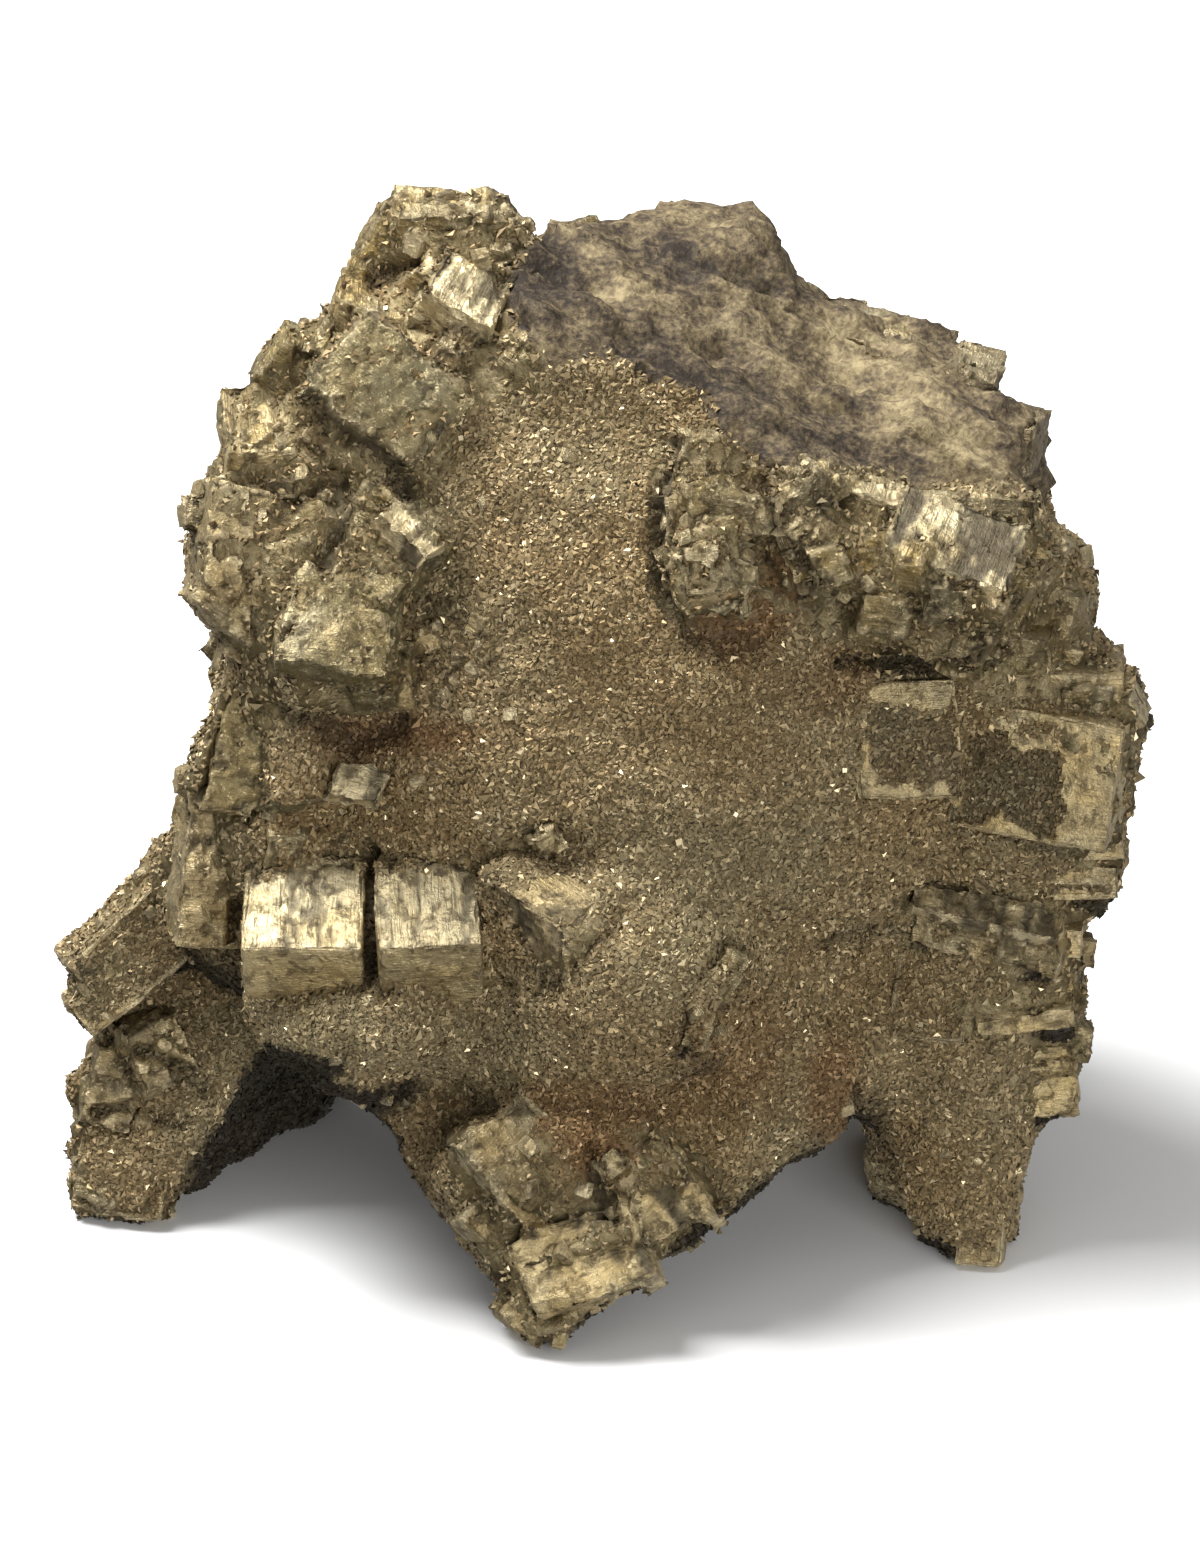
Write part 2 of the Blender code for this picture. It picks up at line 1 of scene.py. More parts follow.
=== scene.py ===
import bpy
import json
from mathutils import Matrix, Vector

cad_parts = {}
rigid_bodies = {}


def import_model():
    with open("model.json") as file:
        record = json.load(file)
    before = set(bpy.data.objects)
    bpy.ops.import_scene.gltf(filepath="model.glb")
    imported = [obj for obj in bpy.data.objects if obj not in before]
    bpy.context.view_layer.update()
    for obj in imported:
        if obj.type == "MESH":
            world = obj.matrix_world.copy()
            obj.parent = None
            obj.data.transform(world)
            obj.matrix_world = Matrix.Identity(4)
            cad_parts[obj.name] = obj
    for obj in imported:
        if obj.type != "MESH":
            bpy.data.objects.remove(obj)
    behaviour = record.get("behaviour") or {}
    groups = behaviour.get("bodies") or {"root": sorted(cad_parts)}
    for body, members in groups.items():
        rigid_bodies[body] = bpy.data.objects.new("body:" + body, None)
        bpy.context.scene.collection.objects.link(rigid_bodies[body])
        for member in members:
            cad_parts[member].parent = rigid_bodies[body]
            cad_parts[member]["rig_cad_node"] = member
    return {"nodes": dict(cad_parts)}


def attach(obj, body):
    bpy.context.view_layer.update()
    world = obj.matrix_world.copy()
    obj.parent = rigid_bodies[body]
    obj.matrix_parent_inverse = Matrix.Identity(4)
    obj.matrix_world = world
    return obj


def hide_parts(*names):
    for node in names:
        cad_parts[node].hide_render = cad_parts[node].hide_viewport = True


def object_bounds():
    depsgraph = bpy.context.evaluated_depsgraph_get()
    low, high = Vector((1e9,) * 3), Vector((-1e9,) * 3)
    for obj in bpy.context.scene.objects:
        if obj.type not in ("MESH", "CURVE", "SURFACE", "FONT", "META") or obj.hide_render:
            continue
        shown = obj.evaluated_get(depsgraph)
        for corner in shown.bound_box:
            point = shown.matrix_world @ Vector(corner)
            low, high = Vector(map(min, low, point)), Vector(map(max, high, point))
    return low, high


bl_info = {
    "name": "Pyrite specimen",
    "version": (1, 0, 0),
    "blender": (4, 5, 0),
    "location": "View3D > Sidebar > Pyrite",
    "description": "A cluster of cube crystals and sparkling druse on a mass of pyrite rock",
    "category": "Add Mesh",
}

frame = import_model()
CAD_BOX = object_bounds()

import json
import math
import random

import bpy
import numpy as np
from bpy.props import FloatProperty, FloatVectorProperty, IntProperty, PointerProperty
from mathutils import Matrix, Vector, noise
from mathutils.bvhtree import BVHTree

MM = 0.001
NODE = "pyrite_cluster"
SHOW_TILT = math.radians(28.0)
MIDDLE_ACROSS = -0.2
MIDDLE_BACK = 44.4

# Cube crystals and slabs: across, up, back, then the sizes across, up and out, then spin, tip,
# turn, all on the show face, then how the faces look and their tone.
CRYSTALS = [
    ("knob_left", -23.2, 121.0, 53.5, 6.5, 7.5, 8, -28, 12, 10, "worn", "yellow"),
    ("knob_top", -19.0, 122.8, 53.0, 8, 7, 8, -8, 28, 5, "worn", "yellow"),
    ("knob_mid", -14.2, 122.8, 53.0, 6, 6.5, 8, 18, 22, -8, "crumbly", "tan"),
    ("knob_right", -10.2, 120.8, 52.0, 6, 6, 7, 30, 15, -10, "crumbly", "grey"),
    ("knob_low_left", -19.5, 118.5, 50.5, 6, 5, 6, -15, 30, 0, "crumbly", "tan"),
    ("knob_low_right", -12.0, 118.5, 49.5, 6, 5, 5, 12, 35, -10, "crumbly", "grey"),
    ("bright_top", -15.6, 114.6, 44.2, 9, 8, 8, -28, 46, 0, "fluted", "cream"),
    ("bright_low", -12.3, 110.6, 42.5, 6, 4, 5, -12, 20, 5, "crumbly", "tan"),
    ("bright_corner", -9.2, 107.6, 39.6, 5, 4, 5, 36, 46, 0, "fluted", "cream"),
    ("bright_left", -24.9, 114.0, 46.5, 8, 5, 7, -22, 35, 5, "grainy", "tan"),
    ("bright_far_left", -28.5, 110.5, 46.0, 5, 5, 6, -30, 15, 15, "grainy", "olive"),
    ("big_square", -23.8, 104.0, 38.0, 15.5, 12.5, 12, -39, -8, 0, "grainy", "green"),
    ("left_top_cube", -36.2, 99.8, 41.0, 11, 8.5, 10, -5, 50, 8, "fluted", "light"),
    ("left_top_small", -33.8, 108.6, 45.5, 6, 6.5, 7, -35, 20, 15, "grainy", "olive"),
    ("left_top_corner", -32.0, 98.0, 40.5, 5, 4, 5, 10, 30, -10, "grainy", "tan"),
    ("left_plate", -39.8, 89.5, 33.5, 9.5, 11.5, 12, -5, 0, 12, "holed", "tan"),
    ("left_plate_low", -39.6, 83.5, 31.0, 9, 9, 11, -40, 0, 8, "worn", "tan"),
    ("left_tab", -39.4, 77.5, 29.5, 4, 4, 6, -36, 5, 0, "worn", "brown"),
    ("pair_top", -23.2, 88.0, 31.5, 11.5, 12, 11, -33, 8, -12, "grainy", "green"),
    ("pair_low", -28.5, 79.0, 26.5, 13, 12.5, 12, -10, -18, 0, "grainy", "green"),
    ("pair_sheet", -20.6, 89.8, 27.6, 7.5, 3.5, 6.5, -42, 44, -4, "fluted", "cream"),
    ("crumb_a", -18.9, 78.5, 26.5, 3.5, 3.5, 4, 20, 10, 15, "crumbly", "tan"),
    ("crumb_b", -13.5, 80.0, 24.5, 3, 3, 4, -30, 20, 0, "crumbly", "tan"),
    ("crumb_c", -16.0, 74.0, 24.0, 3.5, 3, 4, 35, 5, 10, "crumbly", "brown"),
    ("crumb_d", -21.0, 72.3, 23.5, 3, 3, 4, 10, 25, -10, "crumbly", "brown"),
    ("crumb_e", -12.0, 75.5, 23.5, 2.5, 2.5, 3.5, 50, 15, 0, "crumbly", "tan"),
    ("small_upright", -34.2, 64.6, 26.0, 6, 10, 7, 4, -6, 12, "worn", "green"),
    ("small_low", -34.7, 56.2, 24.0, 5, 5, 6, -8, 30, 10, "grainy", "grey"),
    ("small_high", -34.5, 71.3, 26.5, 3.5, 3.5, 4, 10, 10, 10, "grainy", "grey"),
    ("glint", -26.6, 62.2, 21.7, 6.5, 4.5, 3, -16, -22, -8, "fluted", "cream"),
    ("glint_small", -20.1, 63.2, 21.5, 2.2, 2, 3, 10, 45, 0, "smooth", "cream"),
    ("striped_left", -32.3, 45.4, 19.9, 13.5, 13.5, 13.5, 3, 50, -4, "striped", "light"),
    ("striped_right", -18.8, 45.7, 17.4, 11.5, 13, 13, 4, 51, 0, "striped", "light"),
    ("striped_chip", -13.4, 43.3, 16.0, 4, 4, 5, -20, 20, 0, "worn", "tan"),
    ("boss_chip_high", 13.4, 41.9, 12.2, 4.0, 6.5, 6, -25, 10, 8, "grainy", "olive"),
    ("boss_chip_low", 10.6, 37.4, 10.0, 3.6, 8, 6, -16, 5, 8, "grainy", "tan"),
    ("upright_top", 10.0, 97.0, 30.0, 6, 9, 8, -10, 12, 8, "crumbly", "tan"),
    ("upright_left", 8.8, 91.0, 26.5, 5.5, 8, 7, 8, 5, 12, "crumbly", "tan"),
    ("upright_round", 14.0, 91.5, 26.5, 6, 6.5, 8, -6, 22, -10, "worn", "grey"),
    ("upright_mid", 11.0, 86.5, 23.5, 6.5, 6.5, 8, 12, 10, 5, "crumbly", "tan"),
    ("upright_bright", 14.3, 83.8, 23.0, 5.5, 6, 7, -22, -8, -8, "crumbly", "cream"),
    ("upright_low", 9.8, 82.2, 22.5, 4.5, 4.5, 6, 22, -12, 10, "worn", "olive"),
    ("right_bright", 21.3, 93.0, 28.5, 7, 7, 7, 32, 34, 0, "grainy", "cream"),
    ("right_lumpy", 22.5, 86.5, 26.0, 7, 7, 8, 20, 14, 8, "crumbly", "yellow"),
    ("right_lumpy_high", 27.0, 88.0, 27.5, 6.5, 8, 8, -14, 18, 0, "crumbly", "yellow"),
    ("right_filler", 30.5, 82.0, 27.5, 7, 8, 9, -14, 8, 6, "crumbly", "olive"),
    ("right_block", 37.0, 83.2, 28.0, 15.5, 12, 13, -19, 28, 0, "crumbly", "yellow"),
    ("right_top", 38.2, 88.6, 26.0, 14.5, 3.2, 11, -20, 48, 0, "fluted", "cream"),
    ("right_small_top", 29.8, 93.3, 31.5, 4.5, 4, 5, -20, 32, 0, "worn", "cream"),
    ("right_stack", 45.8, 86.2, 36.5, 8, 10.5, 11, -34, 18, -12, "crumbly", "tan"),
    ("right_stack_end", 50.4, 81.5, 37.0, 4.5, 5.5, 8, -20, 10, -10, "grainy", "tan"),
    ("right_shelf", 39.5, 93.3, 36.0, 17, 4, 9, -4, 15, 0, "worn", "grey"),
    ("rock_knob_high", 40.6, 106.8, 54.0, 6, 5.5, 9, -18, 30, 0, "worn", "stone"),
    ("rock_knob_low", 44.8, 100.4, 50.0, 6.5, 6.5, 10, -12, 20, -10, "worn", "stone"),
    ("rock_layer_high", 24.0, 112.6, 60.0, 10, 4, 12, -10, 25, 0, "worn", "stone"),
    ("rock_layer_low", 33.5, 109.6, 57.0, 10, 4, 12, -18, 30, 0, "worn", "stone"),
    ("framed_left", 33.2, 67.3, 26.2, 12, 13.4, 8, 3, 2, 0, "smooth", "light"),
    ("framed_right", 48.3, 64.5, 31.0, 18.5, 15, 13, -9, 14, -8, "smooth", "light"),
    ("framed_cap", 50.2, 73.9, 35.5, 14, 5.5, 11, -2, 20, 0, "smooth", "light"),
    ("framed_corner", 57.0, 70.6, 33.0, 4.5, 4.5, 5, 30, 20, -20, "smooth", "cream"),
    ("step_high", 53.6, 55.8, 32.0, 7, 3, 9, 3, 6, 0, "smooth", "light"),
    ("step_mid", 52.3, 53.2, 31.5, 8.5, 2.2, 9, -3, 10, 0, "smooth", "light"),
    ("step_low", 52.8, 51.0, 32.0, 7.5, 2.6, 9, 2, 0, 0, "smooth", "light"),
    ("ledge_long", 42.3, 46.5, 27.0, 17, 5, 8, -14, 26, 0, "worn", "tan"),
    ("ledge_line", 42.2, 48.4, 24.5, 17.5, 1.8, 5, -13, 44, 0, "fluted", "cream"),
    ("ledge_end", 49.2, 46.0, 29.0, 7, 3.5, 8, -2, 15, 0, "smooth", "light"),
    ("ledge_hook", 46.5, 38.8, 26.8, 11.5, 6.5, 7, 3, 5, 0, "worn", "tan"),
    ("ledge_lip", 46.4, 37.0, 25.2, 12, 2.8, 6, 8, 20, 0, "worn", "light"),
    ("ledge_block", 36.0, 39.0, 26.5, 9, 10, 6, -6, 0, 0, "rimmed", "brown"),
    ("ledge_thin_a", 48.2, 34.2, 28.0, 8.5, 2, 7, 8, 25, 0, "worn", "light"),
    ("ledge_thin_b", 47.6, 31.5, 28.5, 9, 1.6, 7, 6, 10, 0, "worn", "light"),
    ("ledge_tab", 49.0, 28.3, 29.5, 6.5, 5, 8, 2, 0, 0, "worn", "light"),
    ("right_foot_corner", 41.8, 13.2, 23.0, 5.5, 7.5, 7, -3, 4, -6, "smooth", "tan"),
    ("foot_left_cube", -9.8, 22.0, 8.5, 10.5, 12.5, 9, 42, 14, 12, "fluted", "tan"),
    ("foot_bright_edge", 10.2, 17.6, 8.9, 2.6, 9, 8, 36, -22, -8, "fluted", "cream"),
    ("foot_bright_end", 4.4, 11.0, 4.6, 3.4, 8, 8, 22, -20, -6, "fluted", "cream"),
    ("foot_bright_side", -13.4, 20.6, 7.4, 2.4, 6, 7, 38, -16, 0, "fluted", "cream"),
    ("foot_right_cube", 6.8, 19.3, 9.5, 8, 11.5, 9, 38, 2, -8, "fluted", "light"),
    ("foot_front_cube", -2.2, 10.2, 4.6, 14.5, 10, 9, 22, -9, 4, "fluted", "light"),
    ("foot_tip", -7.4, 5.2, 3.6, 7, 7, 7, 46, 5, 0, "worn", "tan"),
    ("leg_slab_high", -52.2, 46.8, 38.0, 16, 5.5, 9, 43, 18, 0, "rimmed", "tan"),
    ("leg_slab_low", -52.5, 41.2, 36.5, 14, 5, 9, 40, 12, 0, "rimmed", "tan"),
    ("leg_frame", -51.8, 20.8, 34.8, 11, 12, 10, -10, 6, -10, "rimmed", "tan"),
    ("leg_side", -54.3, 29.0, 36.3, 6, 9, 9, -14, 5, 10, "worn", "tan"),
    ("leg_lump", -49.5, 33.5, 35.0, 7, 8, 8, 20, 18, 12, "crumbly", "tan"),
    ("leg_tip", -51.5, 16.0, 34.6, 10, 2.6, 8, -4, 8, -6, "worn", "tan"),
    ("spine_high", -39.2, 68.5, 29.5, 6.5, 19, 9, -15, 5, 10, "worn", "olive"),
    ("spine_low", -42.4, 54.8, 29.0, 8.5, 20, 9, -5, 4, 10, "worn", "tan"),
    ("spine_tab", -44.0, 61.8, 33.0, 2.5, 3.5, 6, 5, 10, 0, "worn", "olive"),
    ("face_diamond", 10.8, 73.0, 22.6, 7.5, 5, 6, 24, 8, -6, "worn", "grey"),
    ("boss_knob", -6.2, 56.6, 16.5, 4, 3.5, 5, 24, 22, 8, "crumbly", "light"),
    ("boss_corner", -4.4, 47.9, 15.8, 14, 14, 14, 0, 42, 45, "worn", "tan"),
]
CORNER_CUT = 4.0

# Shallow druse-filled hollows in the front of a slab: its name, the hollow's middle across and
# up on the slab, and the hollow's sizes across, up and deep.
RECESSES = [
    ("framed_left", 1.0, -1.2, 9.0, 9.6, 0.8),
    ("framed_right", -2.6, -1.0, 9.6, 8.2, 1.0),
    ("leg_frame", 0.4, 0.0, 8.0, 8.6, 0.8),
]

# Groups of cubes on the sides and the back: across, up, back of the middle, the way that the
# group faces, how far up it looks, its spread, how many, then the smallest and largest cube.
GROUPS = [
    ("group_right_high", 47, 75, 51, 95, 15, 8, 5, 5, 11),
    ("group_right_low", 46, 48, 47, 95, -5, 9, 5, 5, 10),
    ("group_right_back", 40, 80, 63, 135, 10, 10, 6, 6, 12),
    ("group_back_high", 18, 106, 73, 175, 35, 12, 6, 6, 11),
    ("group_back_mid", 4, 88, 80, 180, 10, 14, 9, 7, 14),
    ("group_back_left", -22, 82, 76, 200, 10, 11, 7, 6, 12),
    ("group_back_low", 24, 60, 76, 170, -5, 11, 7, 6, 12),
    ("group_left_back", -36, 80, 60, 245, 10, 8, 6, 6, 11),
    ("group_left_high", -29, 102, 57, 260, 35, 8, 5, 5, 9),
    ("group_left_low", -46, 47, 54, 260, 5, 8, 5, 5, 9),
    ("group_top", -6, 120, 66, 180, 60, 10, 5, 4, 8),
]
SEED = 11
MOST_SPIN = 40
MOST_TIP = 28

# How each kind of face looks. Depths in millimetres: rounding of the edges, soft lumps, broken
# facets and the size of one, fine facets, stripes, steps of growth, pits; then the share of druse
# and whether the druse leaves a rim bare.
LOOKS = {
    "smooth": dict(wear=0.9, lump=0.12, crumb=0.06, size=2.8, fine=0.03, stripe=0.06,
                   step=0.08, pit=0.15, druse=0.0, rim=0),
    "worn": dict(wear=1.6, lump=0.34, crumb=0.14, size=3.0, fine=0.07, stripe=0.10,
                 step=0.08, pit=0.40, druse=0.10, rim=0),
    "striped": dict(wear=0.9, lump=0.16, crumb=0.07, size=2.4, fine=0.03, stripe=0.34,
                    step=0.02, pit=0.55, druse=0.0, rim=0),
    "fluted": dict(wear=1.2, lump=0.22, crumb=0.16, size=2.4, fine=0.05, stripe=0.60,
                   step=0.04, pit=0.15, druse=0.06, rim=0),
    "grainy": dict(wear=1.7, lump=0.38, crumb=0.14, size=2.2, fine=0.08, stripe=0.08,
                   step=0.06, pit=0.45, druse=0.12, rim=0),
    "crumbly": dict(wear=1.5, lump=0.36, crumb=0.34, size=2.2, fine=0.12, stripe=0.10,
                    step=0.08, pit=0.60, druse=0.12, rim=0),
    "holed": dict(wear=1.4, lump=0.24, crumb=0.10, size=2.4, fine=0.05, stripe=0.06,
                  step=0.06, pit=1.1, druse=0.04, rim=0),
    "rimmed": dict(wear=1.1, lump=0.16, crumb=0.10, size=2.4, fine=0.03, stripe=0.08,
                   step=0.05, pit=0.25, druse=1.0, rim=1),
}
# Parts of the show face with worn crystal faces in place of druse, as outlines: across, up.
WORN_AREAS = [
    [(-27.1, 127.6), (-6.2, 127.6), (-5.9, 122.1), (-9.0, 119.7), (-6.2, 112.2), (-5.9, 105.7),
     (-11.2, 104.0), (-16.1, 102.4), (-14.5, 98.0), (-18.9, 93.6), (-15.8, 88.7), (-18.9, 84.8),
     (-21.0, 78.3), (-21.6, 69.3), (-33.1, 68.7), (-36.4, 76.1), (-41.3, 75.5), (-46.8, 82.6),
     (-45.7, 94.7), (-44.6, 102.4), (-39.7, 108.9), (-33.1, 113.3), (-29.8, 116.6),
     (-27.1, 117.7)],
    [(5.8, 101.3), (12.9, 102.4), (19.5, 95.8), (25.0, 98.2), (30.5, 97.4), (39.2, 94.1),
     (44.7, 93.6), (50.2, 89.2), (54.0, 82.6), (53.5, 77.7), (43.6, 75.8), (26.1, 75.8),
     (21.7, 80.2), (17.9, 82.4), (16.8, 78.3), (8.5, 78.3), (5.5, 82.6), (4.8, 93.6)],
    [(-35.8, 77.2), (-35.1, 69.3), (-38.9, 62.9), (-39.1, 43.2), (-46.8, 43.2), (-47.9, 55.2),
     (-45.7, 65.1), (-41.9, 72.8)],
    [(50.2, 78.8), (60.6, 72.8), (60.1, 65.1), (56.8, 50.3), (53.5, 49.2), (52.9, 25.1),
     (46.7, 24.6), (46.7, 34.2), (37.0, 34.4), (38.1, 38.8), (44.7, 40.4), (43.6, 44.3),
     (32.7, 48.4), (33.2, 51.7), (50.2, 49.2), (50.2, 56.1), (50.6, 71.1), (40.9, 71.1),
     (41.4, 76.9)],
    [(-18.9, 26.2), (-11.2, 27.3), (-0.2, 20.2), (4.2, 27.0), (13.8, 20.2), (13.8, 12.5),
     (7.5, 9.0), (2.0, 3.2), (-6.2, -0.7), (-9.9, 0.7), (-13.4, 10.3), (-15.0, 15.8)],
    [(-12.5, 51.4), (-7.0, 58.0), (1.1, 52.8), (-0.7, 43.7), (-4.4, 38.8), (-8.8, 44.8)],
    [(-60.5, 17.4), (-58.1, 30.0), (-52.8, 33.3), (-54.5, 27.0), (-55.9, 25.6), (-55.6, 17.4),
     (-47.9, 15.6), (-48.4, 13.8), (-59.4, 14.5)],
    [(-60.5, 43.2), (-48.4, 55.2), (-46.5, 53.9), (-46.8, 49.8), (-53.9, 38.8), (-57.2, 33.9)],
]
# Blocks grown over a worn area: which area, how many, smallest and largest.
BLOCKS_ON_WORN = [
    (0, 46, 2.4, 5.0), (1, 40, 2.2, 4.6), (2, 6, 2.0, 3.5), (3, 18, 2.0, 4.2), (4, 9, 2.2, 3.8),
    (6, 6, 2.0, 3.5), (7, 6, 2.0, 3.8),
]
# Where the mass swells or sinks: across, up, half wide, half tall, how far out.
SWELLS = [
    (3.0, 42.5, 13, 12.5, 2.8), (-25.5, 36.5, 13, 4.5, 2.6), (-13.0, 29.0, 11, 3.5, -1.2),
    (18.5, 44.0, 7, 14, -0.5), (2.0, 27.5, 12, 3.0, -0.8), (-6.5, 54.0, 6.5, 3.6, -2.0),
    (-9.3, 45.0, 3.0, 5.0, -2.0),
]
# Dark and pale places of the rock: across, up, half long, half wide, and how pale (1) or dark (-1).
ROCK_STAINS = [
    (-6.2, 117.2, 6, 5, -1.0), (-0.2, 112.0, 8, 3.5, -0.9), (9.6, 119.7, 5.5, 2.2, -1.0),
    (16.2, 102.0, 7, 3.5, -0.7), (9.5, 106.5, 7, 2.0, -0.7), (29.4, 108.2, 9, 3.2, 1.0),
    (33.5, 104.2, 8, 2.6, 0.8), (17.3, 115.0, 8, 2.6, 0.4), (44.7, 101.0, 4, 3.5, -0.5),
    (-3.0, 112.8, 2.2, 1.2, 1.0), (24.0, 100.5, 9, 2.2, -0.5), (38.0, 99.0, 7, 2.0, 0.4),
]
BED_SLOPE = math.radians(-32)
# The pitted side of the plate at the left, as an outline: across, up.
PITTED = [(-42.5, 92.5), (-38.5, 94.5), (-33.5, 94.5), (-33.0, 86), (-34.5, 78), (-37.5, 76.5), (-38, 84)]
# The wall seen behind the left arch, painted in shade, as an outline: across, up.
PAINTED_SHADE_WALL = [(-47.9, 15.2), (-28.2, 25.6), (-27.6, 33.5), (-36.6, 34.4), (-40.2, 27.8),
             (-46.0, 21.3)]
TONES = {
    "cream": (0.62, 0.515, 0.305),
    "light": (0.47, 0.37, 0.192),
    "tan": (0.32, 0.247, 0.124),
    "yellow": (0.28, 0.205, 0.080),
    "grey": (0.23, 0.182, 0.094),
    "green": (0.168, 0.136, 0.065),
    "olive": (0.235, 0.18, 0.078),
    "brown": (0.19, 0.136, 0.064),
    "stone": (0.20, 0.155, 0.092),
}
SHINE = {"cream": 0.7, "light": 0.6, "tan": 0.45}
# Cracks and gaps in the show face, sunk and painted in shade: the line that each follows, across
# and up, then its half width and depth in millimetres.
CRACKS = [
    ([(-31.8, 104.0), (-28.2, 100.4), (-24.9, 98.5), (-20.8, 94.5)], 1.3, 2.6),
    ([(7.7, 99.6), (5.8, 93.6), (5.6, 87.0), (7.0, 81.5), (9.6, 78.3)], 1.0, 1.8),
    ([(10.7, 78.3), (13.5, 77.6), (16.8, 77.7)], 2.4, 1.4),
    ([(26.4, 75.6), (32.7, 75.2), (39.2, 75.2), (43.6, 76.6)], 0.9, 2.2),
    ([(-25.3, 55.2), (-25.6, 49.8), (-25.2, 41.5)], 0.9, 3.0),
    ([(-12.3, 49.2), (-10.6, 46.5), (-9.0, 43.2), (-6.8, 41.5)], 2.2, 2.6),
    ([(29.5, 46.4), (27.9, 43.1)], 0.8, 1.4),
    ([(27.9, 29.3), (27.9, 23.2)], 0.9, 1.6),
    ([(-35.1, 70.0), (-30.9, 68.9), (-26.5, 67.3), (-22.1, 68.6)], 1.8, 1.6),
    ([(17.3, 95.8), (18.6, 93.6), (19.0, 89.2), (21.7, 86.5), (25.0, 82.6)], 1.0, 1.6),
    ([(4.2, 107.0), (10.7, 103.2), (15.1, 100.0), (19.0, 96.0)], 0.8, 1.2),
    ([(-39.7, 49.2), (-39.9, 44.8)], 1.2, 1.6),
    ([(-55.6, 26.2), (-51.7, 27.0), (-46.3, 25.1)], 1.0, 1.4),
    ([(-50.6, 33.1), (-45.7, 31.1), (-43.5, 28.7)], 1.0, 1.4),
    ([(-17.8, 28.2), (-12.3, 27.2), (-4.6, 27.2)], 1.2, 1.1),
    ([(-1.0, 22.4), (-0.2, 18.0), (1.1, 14.9)], 1.2, 1.8),
    ([(-24.8, 117.6), (-19.9, 119.5)], 1.2, 1.6),
    ([(-10.9, 117.2), (-8.8, 112.2)], 1.0, 1.3),
    ([(-12.3, 30.0), (-4.6, 27.0), (4.2, 27.3), (10.7, 29.5)], 2.0, 1.0),
    ([(-39.7, 95.5), (-33.1, 93.9), (-29.3, 95.6)], 1.0, 1.3),
    ([(-29.3, 94.9), (-28.2, 91.4), (-30.0, 87.0)], 1.2, 1.6),
    ([(9.6, 119.7), (14.0, 118.6), (19.0, 117.5)], 1.6, 1.6),
    ([(-9.5, 120.5), (-4.6, 117.2), (-0.2, 115.5)], 1.2, 0.9),
]
# Patches of small crystals: across, up, the radii across and up, how many, smallest and largest.
CRUMBS = [
    (-16.1, 75.5, 5.3, 6.6, 26, 1.0, 2.2),
    (11.3, 89.2, 4.9, 8.8, 30, 0.9, 2.0),
    (23.3, 85.9, 6.0, 6.6, 34, 1.0, 2.4),
    (48.6, 84.8, 4.9, 6.6, 24, 1.0, 2.2),
    (-16.1, 122.1, 9.9, 5.5, 46, 1.0, 2.4),
    (-13.4, 111.1, 4.9, 3.3, 20, 0.8, 1.8),
    (-35.3, 100.2, 7.7, 8.8, 30, 1.0, 2.2),
    (-33.1, 61.8, 6.6, 4.4, 20, 0.8, 1.8),
    (-26.5, 55.2, 13.2, 2.0, 34, 0.7, 1.5),
    (-4.6, 12.5, 12.1, 11.0, 44, 0.9, 2.4),
    (-52.8, 38.8, 9.9, 21.9, 50, 0.9, 2.2),
    (35.9, 16.9, 9.9, 6.6, 20, 0.8, 1.8),
    (43.6, 43.2, 8.8, 16.4, 36, 0.8, 2.0),
    (-6.8, 55.2, 5.5, 4.4, 18, 0.8, 1.8),
    (10.7, 38.8, 3.3, 6.6, 16, 0.8, 1.8),
    (-29.8, 87.0, 6.6, 8.8, 24, 0.8, 1.8),
]


def scrambled(cells, seed):
    """A steady whole number for each whole-numbered cell."""
    whole = cells.astype(np.int64)
    mixed = whole[..., 0] * 73856093
    for axis, prime in ((1, 19349663), (2, 83492791)):
        if whole.shape[-1] > axis:
            mixed = mixed ^ (whole[..., axis] * prime)
    mixed = (mixed ^ (seed * 40503)) & 0xFFFFFFFF
    mixed = ((mixed ^ (mixed >> 15)) * 2246822519) & 0xFFFFFFFF
    mixed = ((mixed ^ (mixed >> 13)) * 3266489917) & 0xFFFFFFFF
    return mixed ^ (mixed >> 16)

# The dull rock at the top right, as an outline on the show face: across, up.
ROCK_EDGE = [
    (-6.8, 123), (-9.5, 119.9), (-11.2, 115.5), (-10.1, 111.1), (-7.9, 107.4), (-2.4, 108.1),
    (3.9, 107.2), (10.4, 103.5), (15.7, 99.6), (19.5, 96), (23.9, 96.9), (30.5, 96),
    (37, 95.2), (41.4, 93.6), (46.9, 93.6), (58, 93), (64, 140), (-8, 140),
]
# Rust in the hollows of the show face: across, up, the radii across and up, strength.
RUST_SPOTS = [
    (-20.5, 67.8, 10, 3, 1.0), (16.2, 79.4, 7, 4.5, 0.9), (25.5, 28.9, 3.5, 7, 0.9),
    (-0.8, 22.6, 5, 5, 0.9), (-1.3, 27.3, 14, 3.5, 0.7), (19.5, 82.6, 4, 6, 0.8),
    (15, 33, 7, 7, 0.5), (24, 74, 9, 4, 0.5), (-30, 50, 8, 3, 0.5),
]


# ---------------------------------------------------------------- places and patterns


def spot(across, up, back):
    """The point that lies at this place on the show face and this far back."""
    height = (up - back * math.sin(SHOW_TILT)) / math.cos(SHOW_TILT)
    return Vector((across - MIDDLE_ACROSS, back - MIDDLE_BACK, height)) * MM


